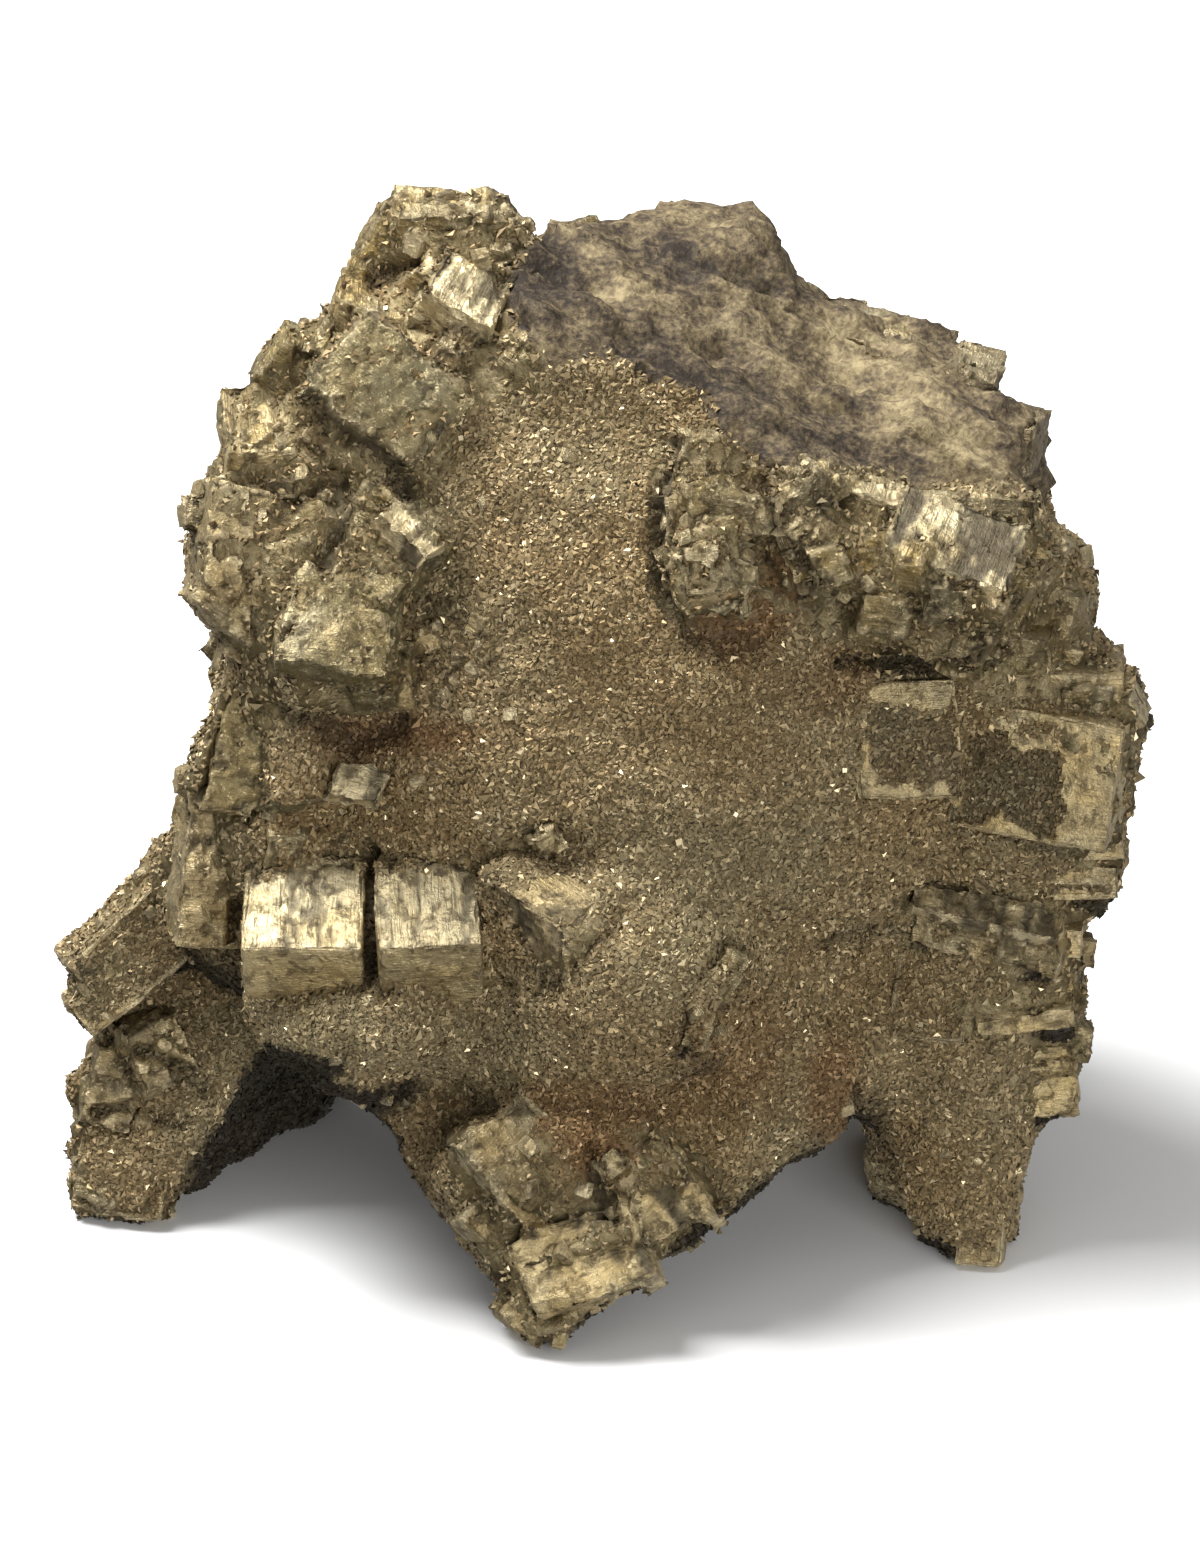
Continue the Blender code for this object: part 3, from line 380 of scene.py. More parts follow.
def show_place(points):
    """Across and up on the show face and the distance back, in millimetres, of many points."""
    x, y, z = (points / MM).T
    back = y + MIDDLE_BACK
    return x + MIDDLE_ACROSS, z * math.cos(SHOW_TILT) + back * math.sin(SHOW_TILT), back


def show_frame():
    lean, rise = math.sin(SHOW_TILT), math.cos(SHOW_TILT)
    return Matrix(((1, 0, 0), (0, lean, -rise), (0, rise, lean)))


def turned(spin, tip, turn):
    return (
        Matrix.Rotation(math.radians(spin), 3, "Z")
        @ Matrix.Rotation(math.radians(tip), 3, "X")
        @ Matrix.Rotation(math.radians(turn), 3, "Y")
    )


def smooth_step(low, high, value):
    share = np.clip((value - low) / (high - low), 0.0, 1.0)
    return share * share * (3 - 2 * share)


def chance(cells, seed):
    """A steady number from 0 to 1 for each cell."""
    return (scrambled(cells, seed) & 0xFFFFFF) / float(0xFFFFFF)


def chances(cells, seed):
    """Three steady numbers from 0 to 1 for each cell."""
    mixed = scrambled(cells, seed)
    return np.stack([(mixed >> shift) & 1023 for shift in (0, 10, 20)], -1) / 1023.0


def facets(points, size, seed, slope):
    """Broken faces, -1 to 1: each cell of a random mosaic has its own height and slope."""
    place = points / size
    low = np.floor(place)
    nearest = np.full(len(points), 1e9)
    value = np.zeros(len(points))
    for corner in np.ndindex(3, 3, 3):
        cell = low + np.array(corner) - 1
        away = place - cell - chances(cell, seed)
        gap = np.einsum("ij,ij->i", away, away)
        near = np.where(gap < nearest)[0]
        lean = chances(cell[near], seed + 1) * 2 - 1
        height = chance(cell[near], seed + 2) * 2 - 1
        nearest[near] = gap[near]
        value[near] = height + slope * np.einsum("ij,ij->i", away[near], lean)
    return value


def line_gap(line, across, up):
    """How far each place is from a bent line."""
    nearest = np.full(len(across), 1e9)
    for (x1, y1), (x2, y2) in zip(line, line[1:]):
        run = (x2 - x1) ** 2 + (y2 - y1) ** 2
        share = np.clip(((across - x1) * (x2 - x1) + (up - y1) * (y2 - y1)) / run, 0, 1)
        gap = np.hypot(across - x1 - share * (x2 - x1), up - y1 - share * (y2 - y1))
        nearest = np.minimum(nearest, gap)
    return nearest


def crack_depth(points, normals, across, up):
    """How deep the cracks of the show face are at each point, in millimetres."""
    way = np.array(show_frame().col[2])
    facing = smooth_step(-0.15, 0.25, normals @ way)
    wobble = cloud(points / MM, 2.2, 71) * 0.5 + cloud(points / MM, 6.0, 72) * 0.4
    depth = np.zeros(len(points))
    for line, half, deep in CRACKS:
        gap = line_gap(line, across, up) + wobble * half * 0.6
        depth = np.maximum(depth, deep * smooth_step(half * 1.25, half * 0.3, gap))
    return depth * facing


def cloud(points, size, seed):
    """Soft noise from -1 to 1 with lumps of this size."""
    place = points / size
    low = np.floor(place)
    part = place - low
    part = part * part * (3 - 2 * part)
    total = np.zeros(len(points))
    for corner in np.ndindex(2, 2, 2):
        step = np.array(corner)
        weight = np.prod(np.where(step == 1, part, 1 - part), axis=1)
        total += weight * chance(low + step, seed)
    return total * 2 - 1


def clouds(points, size, seed, layers=3):
    total = np.zeros(len(points))
    for layer in range(layers):
        total += cloud(points, size / 2**layer, seed + layer) / 2**layer
    return total


def inside(edge, across, up, soft):
    """1 inside the outline and 0 outside it, with a soft border."""
    within = np.zeros(len(across), bool)
    nearest = np.full(len(across), 1e9)
    for (x1, y1), (x2, y2) in zip(edge, edge[1:] + edge[:1]):
        crosses = (y1 > up) != (y2 > up)
        rise = (y2 - y1) if y2 != y1 else 1e-9
        within ^= crosses & (across < (x2 - x1) * (up - y1) / rise + x1)
        run = (x2 - x1) ** 2 + (y2 - y1) ** 2
        share = np.clip(((across - x1) * (x2 - x1) + (up - y1) * (y2 - y1)) / run, 0, 1)
        gap = np.hypot(across - x1 - share * (x2 - x1), up - y1 - share * (y2 - y1))
        nearest = np.minimum(nearest, gap)
    return smooth_step(-soft, soft, np.where(within, nearest, -nearest))


# ---------------------------------------------------------------- objects and meshes


def deselect():
    bpy.ops.object.select_all(action="DESELECT")


def take(item):
    """Makes this the only selected object and the active one."""
    deselect()
    item.select_set(True)
    bpy.context.view_layer.objects.active = item


def finish_piece(item, material):
    """Gives a piece its material, body and slot."""
    item.data.materials.clear()
    item.data.materials.append(material)
    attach(item, "root")


def points_of(mesh):
    flat = np.empty(len(mesh.vertices) * 3)
    mesh.vertices.foreach_get("co", flat)
    return flat.reshape(-1, 3)


def normals_of(mesh):
    flat = np.empty(len(mesh.vertices) * 3)
    mesh.vertex_normals.foreach_get("vector", flat)
    return flat.reshape(-1, 3)


def put_points(mesh, points):
    mesh.vertices.foreach_set("co", points.ravel())
    mesh.update()


def add_values(mesh, name, values):
    attribute = mesh.attributes.new(name, "FLOAT", "POINT")
    attribute.data.foreach_set("value", values.astype(np.float32))


def add_colours(mesh, name, colours):
    attribute = mesh.attributes.new(name, "FLOAT_COLOR", "POINT")
    full = np.ones((len(colours), 4), np.float32)
    full[:, :3] = colours
    attribute.data.foreach_set("color", full.ravel())


def inside_box(points):
    """Keeps points within the space that the solid takes."""
    low, high = np.array(CAD_BOX[0]), np.array(CAD_BOX[1])
    return np.clip(points, low, high)


def mesh_object(name, points, faces):
    """A mesh object from arrays of points and of faces that all have as many corners."""
    mesh = bpy.data.meshes.new(name)
    mesh.vertices.add(len(points))
    mesh.vertices.foreach_set("co", points.ravel())
    mesh.loops.add(faces.size)
    mesh.loops.foreach_set("vertex_index", faces.ravel())
    mesh.polygons.add(len(faces))
    mesh.polygons.foreach_set("loop_start", np.arange(0, faces.size, faces.shape[1]))
    mesh.update(calc_edges=True)
    item = bpy.data.objects.new(name, mesh)
    bpy.context.scene.collection.objects.link(item)
    return item


# ---------------------------------------------------------------- shader maths


class Knob:
    """A node socket that takes part in sums."""

    def __init__(self, board, socket):
        self.board = board
        self.socket = socket

    def _sum(self, operation, first, second):
        return self.board.node("ShaderNodeMath", {"operation": operation}, [first, second])

    def __add__(self, other):
        return self._sum("ADD", self, other)

    def __sub__(self, other):
        return self._sum("SUBTRACT", self, other)

    def __rsub__(self, other):
        return self._sum("SUBTRACT", other, self)

    def __mul__(self, other):
        return self._sum("MULTIPLY", self, other)

    def __pow__(self, other):
        return self._sum("POWER", self, other)

    __radd__ = __add__
    __rmul__ = __mul__


class Board:
    """A material's nodes, with one way to add any of them."""

    def __init__(self, name):
        self.material = bpy.data.materials.new(name)
        self.material.use_nodes = True
        self.tree = self.material.node_tree
        self.shader = self.tree.nodes["Principled BSDF"]

    def link(self, value, socket):
        if isinstance(value, Knob):
            self.tree.links.new(value.socket, socket)
        else:
            socket.default_value = value

    def node(self, kind, settings=None, inputs=None, output=0):
        """Adds a node: its settings first, then its sockets by name or place."""
        node = self.tree.nodes.new(kind)
        for name, value in (settings or {}).items():
            if name == "stops":
                self.set_stops(node, value)
            else:
                setattr(node, name, value)
        rows = inputs.items() if isinstance(inputs, dict) else enumerate(inputs or [])
        for key, value in rows:
            self.link(value, node.inputs[key])
        return Knob(self, node.outputs[output])

    def set_stops(self, node, stops):
        ramp = node.color_ramp
        while len(ramp.elements) < len(stops):
            ramp.elements.new(0.5)
        for element, (place, colour) in zip(ramp.elements, stops):
            element.position = place
            element.color = (*colour, 1.0)

    def attribute(self, name, output="Fac"):
        return self.node("ShaderNodeAttribute", {"attribute_name": name}, None, output)

    def place(self):
        return self.node("ShaderNodeTexCoord", None, None, "Object")

    def noise(self, place, scale, detail=3.0, rough=0.55, warp=0.0):
        sockets = {"Vector": place, "Scale": scale, "Detail": detail, "Roughness": rough}
        sockets["Distortion"] = warp
        return self.node("ShaderNodeTexNoise", None, sockets)

    def mix(self, share, first, second, blend="MIX"):
        settings = {"data_type": "RGBA", "blend_type": blend}
        return self.node("ShaderNodeMix", settings, {0: share, 6: first, 7: second}, 2)

    def ramp(self, value, stops):
        return self.node("ShaderNodeValToRGB", {"stops": stops}, [value])

    def between(self, value, low, high):
        """0 below low, 1 above high and smooth between them."""
        settings = {"interpolation_type": "SMOOTHSTEP"}
        return self.node("ShaderNodeMapRange", settings, [value, low, high, 0.0, 1.0])

    def bump(self, height, strength, distance):
        sockets = {"Strength": strength, "Distance": distance * MM, "Height": height}
        return self.node("ShaderNodeBump", None, sockets)

    def out(self, name, value):
        self.link(value, self.shader.inputs[name])


def colour(values):
    return (*values, 1.0)


# ---------------------------------------------------------------- the mass


def crystal_rows():
    """Every cube crystal: its name, centre, axes, sizes in millimetres, look and tone."""
    rows = []
    for name, across, up, back, wide, tall, deep, spin, tip, turn, look, tone in CRYSTALS:
        axes = np.array(show_frame() @ turned(spin, tip, turn))
        centre = np.array(spot(across, up, back))
        rows.append((name, centre, axes, np.array((wide, tall, deep), float), look, tone))
    for row in GROUPS:
        rows += group_rows(*row)
    return rows


def group_rows(name, across, up, back, facing, rise, spread, count, small, large):
    draw = random.Random(name + str(SEED))
    way, lift = math.radians(facing), math.radians(rise)
    flat = math.cos(lift)
    out = Vector((math.sin(way) * flat, -math.cos(way) * flat, math.sin(lift)))
    side = Vector((math.cos(way), math.sin(way), 0))
    axes = Matrix((side, out.cross(side), out)).transposed()
    middle = spot(across, up, back)
    rows = []
    for number in range(count):
        shift = Vector((draw.uniform(-spread, spread), draw.uniform(-spread, spread), 0))
        edge = draw.uniform(small, large)
        spin = draw.uniform(-MOST_SPIN, MOST_SPIN)
        tip = draw.uniform(-MOST_TIP, MOST_TIP)
        turn = draw.uniform(-MOST_TIP, MOST_TIP)
        turns = np.array(axes @ turned(spin, tip, turn))
        centre = np.array(middle + axes @ shift * MM)
        look = ("grainy", "worn", "smooth", "striped")[number % 4]
        tone = ("tan", "grey", "olive", "green", "tan")[number % 5]
        sizes = np.full(3, edge)
        rows.append((name + "_" + str(number), centre, turns, sizes, look, tone))
    return rows


def box_gap(points, centre, axes, sizes):
    """How far points lie outside a box, in millimetres, and less than 0 inside it."""
    local = (points - centre) @ axes / MM
    return np.max(np.abs(local) - sizes / 2, axis=1)


def mass_mesh(settings):
    """A fine copy of the solid, with its facets worn away."""
    mesh = frame["nodes"][NODE].data.copy()
    item = bpy.data.objects.new("pyrite_mass", mesh)
    mesh.name = "pyrite_mass"
    bpy.context.scene.collection.objects.link(item)
    item.hide_render = item.hide_viewport = False
    take(item)
    bpy.ops.object.mode_set(mode="EDIT")
    bpy.ops.mesh.select_all(action="SELECT")
    bpy.ops.mesh.remove_doubles(threshold=0.002 * MM)
    bpy.ops.object.mode_set(mode="OBJECT")
    fine = item.modifiers.new("fine", "REMESH")
    fine.mode = "VOXEL"
    fine.voxel_size = settings.voxel
    bpy.ops.object.modifier_apply(modifier="fine")
    soft = item.modifiers.new("soft", "SMOOTH")
    soft.factor = 0.5
    soft.iterations = 7
    bpy.ops.object.modifier_apply(modifier="soft")
    return item


def under_crystals(points, rows):
    """1 where the surface belongs to a crystal, 0 where it is the mass itself."""
    cover = np.zeros(len(points))
    for name, centre, axes, sizes, look, tone in rows:
        if name == "boss_corner":
            continue
        reach = np.linalg.norm(sizes) * 0.5 * MM + 0.001
        near = np.where(np.max(np.abs(points - centre), axis=1) < reach)[0]
        if len(near):
            gap = box_gap(points[near], centre, axes, sizes)
            cover[near] = np.maximum(cover[near], smooth_step(0.2, -0.4, gap))
    return cover


def mass_regions(points, normals):
    """The shares of rock, rust, painted underside shade and worn crystal face at each point."""
    across, up, back = show_place(points)
    place = points / MM
    wobble = clouds(place, 7.0, 3)
    rock = inside(ROCK_EDGE, across + wobble * 1.5, up + cloud(place, 5.0, 8) * 1.5, 1.0)
    behind = smooth_step(0.1, 0.5, normals[:, 1])
    patches = smooth_step(-0.1, 0.35, clouds(place, 26.0, 21))
    rock = np.maximum(rock, behind * patches)
    rust = np.zeros(len(points))
    for x, y, wide, tall, strength in RUST_SPOTS:
        gap = np.hypot((across - x) / wide, (up - y) / tall)
        rust = np.maximum(rust, strength * smooth_step(1.25, 0.35, gap + wobble * 0.25))
    rust *= smooth_step(0.3, -0.2, normals[:, 1])
    facing = normals @ np.array(show_frame().col[2])
    # Painted shade: low places that face down, and the wall behind the left arch.
    low = smooth_step(58.0, 36.0, place[:, 2] + wobble * 3)
    under = smooth_step(-0.25, -0.65, normals[:, 2] + wobble * 0.06) * low
    wall = inside(PAINTED_SHADE_WALL, across + wobble, up + cloud(place, 3.0, 9), 0.6)
    under = np.maximum(under, wall)
    worn = np.zeros(len(points))
    for edge in WORN_AREAS:
        worn = np.maximum(worn, inside(edge, across + wobble, up + wobble, 0.7))
    worn *= smooth_step(-0.8, -0.4, facing)
    worn = np.maximum(worn, smooth_step(0.15, 0.45, clouds(place, 19.0, 25)) * behind)
    return rock, rust, under, worn * (1 - rock) * (1 - under)


def rock_height(points, across, up):
    """Lumps, sloping beds and breaks of the dull rock, in millimetres."""
    place = points / MM
    along, over = bed_ways(across, up)
    bent = over + clouds(place, 16.0, 31) * 3.0
    bed = bent / 4.6
    step = bed - np.floor(bed)
    ledge = smooth_step(0.0, 0.25, step) - step
    level = chance(np.stack([np.floor(bed), np.floor(along / 11.0 + bed)], 1), 5)
    long_way = np.stack([along / 3.2, over, place[:, 1]], 1)
    ridges = 1 - 2 * np.abs(clouds(long_way, 3.2, 41, 2))
    lumps = clouds(place, 8.0, 33, 2)
    broken = facets(place, 2.4, 44, 1.3)
    height = ledge * 2.2 * level + ridges * 0.42 + lumps * 0.65 + broken * 0.34
    return height + cloud(place, 1.5, 46) * 0.14 - 0.5


def bed_ways(across, up):
    """Places along and over the rock's sloping beds."""
    along = across * math.cos(BED_SLOPE) + up * math.sin(BED_SLOPE)
    return along, up * math.cos(BED_SLOPE) - across * math.sin(BED_SLOPE)


def rock_stain(across, up, wobble):
    """How pale (1) or dark (-1) the rock is."""
    stain = np.zeros(len(across))
    along, over = bed_ways(across, up)
    for x, y, long, wide, level in ROCK_STAINS:
        middle = bed_ways(x, y)
        gap = np.hypot((along - middle[0]) / long, (over - middle[1]) / wide)
        stain += level * smooth_step(1.35, 0.45, gap + wobble * 0.35)
    return np.clip(stain, -1, 1)


def hollow_shade(item):
    """How closed in each point is, from 0 in the open to 1 in a deep hollow."""
    solid = frame["nodes"][NODE].data
    solid.calc_loop_triangles()
    corners = [tuple(v.co) for v in solid.vertices]
    faces = [tuple(t.vertices) for t in solid.loop_triangles]
    tree = BVHTree.FromPolygons(corners, faces)
    points, normals = points_of(item.data), normals_of(item.data)
    draw = np.random.default_rng(5)
    rays = draw.normal(size=(14, 3))
    rays /= np.linalg.norm(rays, axis=1, keepdims=True)
    shade = np.zeros(len(points))
    for ray in rays:
        ways = normals * 1.05 + ray
        ways /= np.linalg.norm(ways, axis=1, keepdims=True)
        starts = points + normals * 0.9 * MM
        for index, (start, way) in enumerate(zip(starts, ways)):
            hit = tree.ray_cast(start, way, 14 * MM)
            if hit[0] is not None and hit[1].dot(way) < 0:
                shade[index] += 1 - 0.5 * hit[3] / (14 * MM)
    return shade / len(rays)


def mass_material(settings):
    board = Board("pyrite_mass")
    place = board.place()
    rock = board.attribute("rock")
    rust = board.attribute("rust")
    shade = board.attribute("shade")
    under = board.attribute("under")
    worn = board.attribute("worn")
    stain = board.attribute("stain")
    fine = board.noise(place, 1500.0, 3.0, 0.6)
    coarse = board.noise(place, 420.0, 5.0, 0.62, 0.4)
    broad = board.noise(place, 80.0, 5.0, 0.6, 0.5)
    streak = board.noise(board.attribute("bedding", "Vector"), 0.45, 6.0, 0.66, 0.6)
    druse = board.ramp(fine * 0.7 + coarse * 0.3, [
        (0.34, (0.060, 0.042, 0.020)), (0.50, (0.16, 0.118, 0.060)), (0.66, (0.32, 0.25, 0.138)),
    ])
    mottle = streak * 0.5 + broad * 0.5 + (fine - 0.5) * 0.6 + (coarse - 0.5) * 0.6
    stone = board.ramp(mottle + stain * 0.13, [
        (0.30, (0.026, 0.019, 0.013)), (0.44, (0.084, 0.062, 0.037)),
        (0.56, (0.17, 0.130, 0.072)), (0.74, (0.33, 0.265, 0.145)),
    ])
    face = board.ramp(coarse * 0.8 + (broad - 0.5) * 0.8 + fine * 0.2, [
        (0.30, (0.050, 0.036, 0.018)), (0.44, (0.14, 0.106, 0.050)),
        (0.56, (0.21, 0.17, 0.090)), (0.72, (0.36, 0.29, 0.17)),
    ])
    base = board.mix(worn, druse, face)
    base = board.mix(rock, base, stone)
    rusty = board.ramp(coarse, [(0.35, (0.060, 0.030, 0.014)), (0.65, (0.20, 0.105, 0.045))])
    base = board.mix(rust * board.between(coarse, 0.25, 0.6), base, rusty)
    # Painted shade: darker where the mass is closed in, on its underside, behind the left arch and in
    # cracks.
    painted_shade_colour = colour((0.020, 0.016, 0.012))
    base = board.mix(board.between(shade, 0.35, 0.9) * 0.6, base, painted_shade_colour)
    base = board.mix(under * 0.92, base, painted_shade_colour)
    board.out("Base Color", base)
    board.out("Metallic", 0.72 - rock * 0.70 - rust * 0.25 - under * 0.5)
    board.out("Roughness", 0.55 + rock * 0.2 + (fine - 0.5) * 0.2)
    height = fine * 0.6 + coarse + streak * rock * 0.8
    board.out("Normal", board.bump(height, 0.9, 0.5))
    board.shader.inputs["Specular IOR Level"].default_value = 0.25
    return board.material


def rounded(local, size, wear, place):
    """Rounds a cube's edges unevenly: the moved points and the ways that they face."""
    radius = wear * (0.8 + 0.75 * cloud(place, 3.2, 601) + 0.25 * cloud(place, 1.1, 602))
    radius = np.minimum(np.maximum(radius, 0.10), size.min(axis=1) * 0.34)[:, None]
    core = np.clip(local, radius - size / 2, size / 2 - radius)
    out = local - core
    out = out / np.maximum(np.linalg.norm(out, axis=1), 1e-6)[:, None]
    # Between a round edge and a straight chamfer.
    most = np.max(np.abs(out), axis=1)[:, None]
    reach = radius * (1 - 0.22 * (1 - most) / (1 - 0.7071) * 0.6)
    return core + out * np.where(most > 0.999, radius, reach), out


def stripe_depth(along, over, seed, wide=1.0):
    """Ridges side by side, 0 to 1, that run along a face and fade in and out."""
    place = np.stack([along / 8.0, over, over * 0], 1) / wide
    ridges = cloud(place, 0.9, seed) + 0.7 * cloud(place * (2.0, 1.0, 1.0), 0.45, seed + 1)
    return np.clip(0.5 + 0.55 * ridges, 0, 1)


def cut_corner(name, moved, out, size):
    """Breaks one corner off this cube, flat: the points, and 1 on the break."""
    broken = np.zeros(len(moved))
    if name == "boss_corner":
        way = np.array((-1, 1, 1)) / math.sqrt(3)
        over = moved @ way - (size[0, 0] / 2 * math.sqrt(3) - CORNER_CUT)
        broken = smooth_step(-0.1, 0.2, over)
        moved = moved - np.maximum(over, 0)[:, None] * way
    return moved, broken


def step_depth(along, over, half_along, half_over, pick):
    """Square terraces round a random middle, in steps."""
    x = (pick[:, 0] - 0.5) * 0.8 * half_along
    y = (pick[:, 1] - 0.5) * 0.8 * half_over
    reach = np.maximum(np.abs(along - x), np.abs(over - y) * (0.8 + 0.5 * pick[:, 2]))
    return np.floor(reach / (1.2 + 0.7 * pick[:, 0]))


def recess_depth(name, local, out, place, depth, druse):
    """Sinks the hollows in the front of this crystal and fills them with druse."""
    for slab, x, y, wide, tall, deep in RECESSES:
        if slab == name:
            rough = clouds(place, 3.6, 777, 3) * 1.7
            gap = np.maximum(np.abs(local[:, 0] - x) - wide / 2, np.abs(local[:, 1] - y) - tall / 2)
            sunk = smooth_step(0.25, -0.25, gap + rough) * (out[:, 2] > 0.8)
            depth = depth * (1 - sunk) + sunk * deep
            druse = np.maximum(druse * 0.3, sunk)
    return depth, druse


def build_mass(settings):
    rows = crystal_rows()
    item = mass_mesh(settings)
    mesh = item.data
    points, normals = points_of(mesh), normals_of(mesh)
    across, up, back = show_place(points)
    cover = under_crystals(points, rows)
    rock, rust, under, worn = mass_regions(points, normals)
    crack = crack_depth(points, normals, across, up)
    place = points / MM
    lumps = clouds(place, 6.5, 12) * 0.5 - 0.25
    broken = facets(place, 2.8, 15, 1.4)
    height = lumps + broken * (0.12 + 0.22 * worn)
    height = height * (1 - rock) + rock_height(points, across, up) * rock
    facing = smooth_step(0.1, 0.5, normals @ np.array(show_frame().col[2]))
    height += clouds(place, 13.0, 19) * 1.7 * (1 - facing)
    for x, y, wide, tall, swell in SWELLS:
        gap = np.hypot((across - x) / wide, (up - y) / tall)
        height += swell * smooth_step(1.3, 0.3, gap) * facing
    height = (height - crack) * (1 - cover) - 1.3 * cover
    points = points + normals * (height * MM)[:, None]
    points[:, 2] = np.where(place[:, 2] < 0.25, np.maximum(place[:, 2], 0) * MM, points[:, 2])
    put_points(mesh, inside_box(points))
    along, over = bed_ways(across, up)
    add_vectors(mesh, "bedding", np.stack([along * 0.28, over, place[:, 1]], 1))
    add_values(mesh, "stain", rock_stain(across, up, clouds(place, 7.0, 3)))
    add_values(mesh, "rock", rock)
    add_values(mesh, "rust", rust)
    add_values(mesh, "worn", worn)
    # Painted shade: the underside, the wall behind the left arch and the deeper cracks.
    add_values(mesh, "under", np.maximum(under, smooth_step(0.6, 2.2, crack) * 0.8))
    add_values(mesh, "cover", cover)
    add_values(mesh, "shade", hollow_shade(item))
    mesh.shade_smooth()
    finish_piece(item, mass_material(settings))
    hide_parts(NODE)


# ---------------------------------------------------------------- cube crystals


def cube_grid(steps):
    """A cube from -0.5 to 0.5 with this many steps along each edge."""
    deselect()
    bpy.ops.mesh.primitive_cube_add(size=1)
    item = bpy.context.object
    if steps > 1:
        bpy.ops.object.mode_set(mode="EDIT")
        bpy.ops.mesh.subdivide(number_cuts=steps - 1)
        bpy.ops.object.mode_set(mode="OBJECT")
    points = points_of(item.data)
    quads = np.empty(len(item.data.loops), np.int32)
    item.data.loops.foreach_get("vertex_index", quads)
    mesh = item.data
    bpy.data.objects.remove(item)
    bpy.data.meshes.remove(mesh)
    return points, quads.reshape(-1, 4)


class CrystalPile:
    """Crystals gathered into one mesh, with the values that their material reads."""

    def __init__(self):
        self.points, self.quads = [], []
        self.values = {"tone": [], "polish": [], "druse": [], "dirt": [], "growth": []}
        self.count = 0

    def add(self, points, quads, **values):
        self.points.append(points)
        self.quads.append(quads + self.count)
        for name, value in values.items():
            self.values[name].append(value)
        self.count += len(points)

    def triangles(self):
        return sum(len(quads) for quads in self.quads) * 2


def face_detail(local, out, size, pick, place, kind, striped):
    """What wear and growth do to crystal faces: the depth of it, pits, borders and directions."""
    warp = np.stack([cloud(place, 2.6, 611 + k) for k in range(3)], 1) * 0.5
    warp += np.stack([cloud(place, 0.9, 614 + k) for k in range(3)], 1) * 0.16
    bent = place + warp
    crumbs = facets(bent, 2.4, 620, 1.5) + 0.4
    depth = kind["lump"] * (clouds(place, 5.0, 617, 2) + 0.3) + kind["crumb"] * crumbs
    depth += kind["fine"] * facets(bent, 0.9, 630, 1.4)
    hole = clouds(bent * (1.2, 1.0, 1.2), 2.1, 640, 2)
    hollow = smooth_step(0.42, 0.60, hole) * kind["pit"]
    if striped:
        hollow *= 0.25 + 0.9 * smooth_step(0.2, -0.9, local[:, 2] * 2 / size[:, 2])
    depth += hollow * 0.8
    axis = np.argmax(np.abs(out), axis=1)
    border, growth = np.zeros(len(local)), np.zeros((len(local), 3))
    for face in range(3):
        on = np.where(axis == face)[0]
        one, two = (face + 1) % 3, (face + 2) % 3
        along = local[on, one] + warp[on, one] * 0.5
        over = local[on, two] + warp[on, two] * 0.3
        side = np.sign(out[on, face])
        stripe = kind["stripe"] if np.isscalar(kind["stripe"]) else kind["stripe"][on]
        if striped and face != 1:
            stripe = 0.05
        shift = pick[on, 0] * 90
        ways = (over, along) if face == 2 else (along, over)
        lines = stripe_depth(ways[0] + side * 50, ways[1] + shift, 650 + face, 1 if striped else 1.7)
        depth[on] += stripe * lines
        # The grooves between strong stripes are marked to be painted in shade.
        if striped and face == 1:
            hollow[on] = np.maximum(hollow[on], smooth_step(0.60, 0.85, lines) * 0.7)
        hollow[on] = np.maximum(hollow[on], smooth_step(0.66, 0.9, lines) * (stripe > 0.4) * 0.7)
        step = kind["step"] if np.isscalar(kind["step"]) else kind["step"][on]
        half_one, half_two = size[on, one] / 2, size[on, two] / 2
        depth[on] += step * step_depth(along, over, half_one, half_two, pick[on])
        border[on] = np.minimum(half_one - np.abs(along), half_two - np.abs(over))
        growth[on] = np.stack([along, over + side * 50, pick[on, 1] * 90], 1)
    return depth, hollow, border, growth


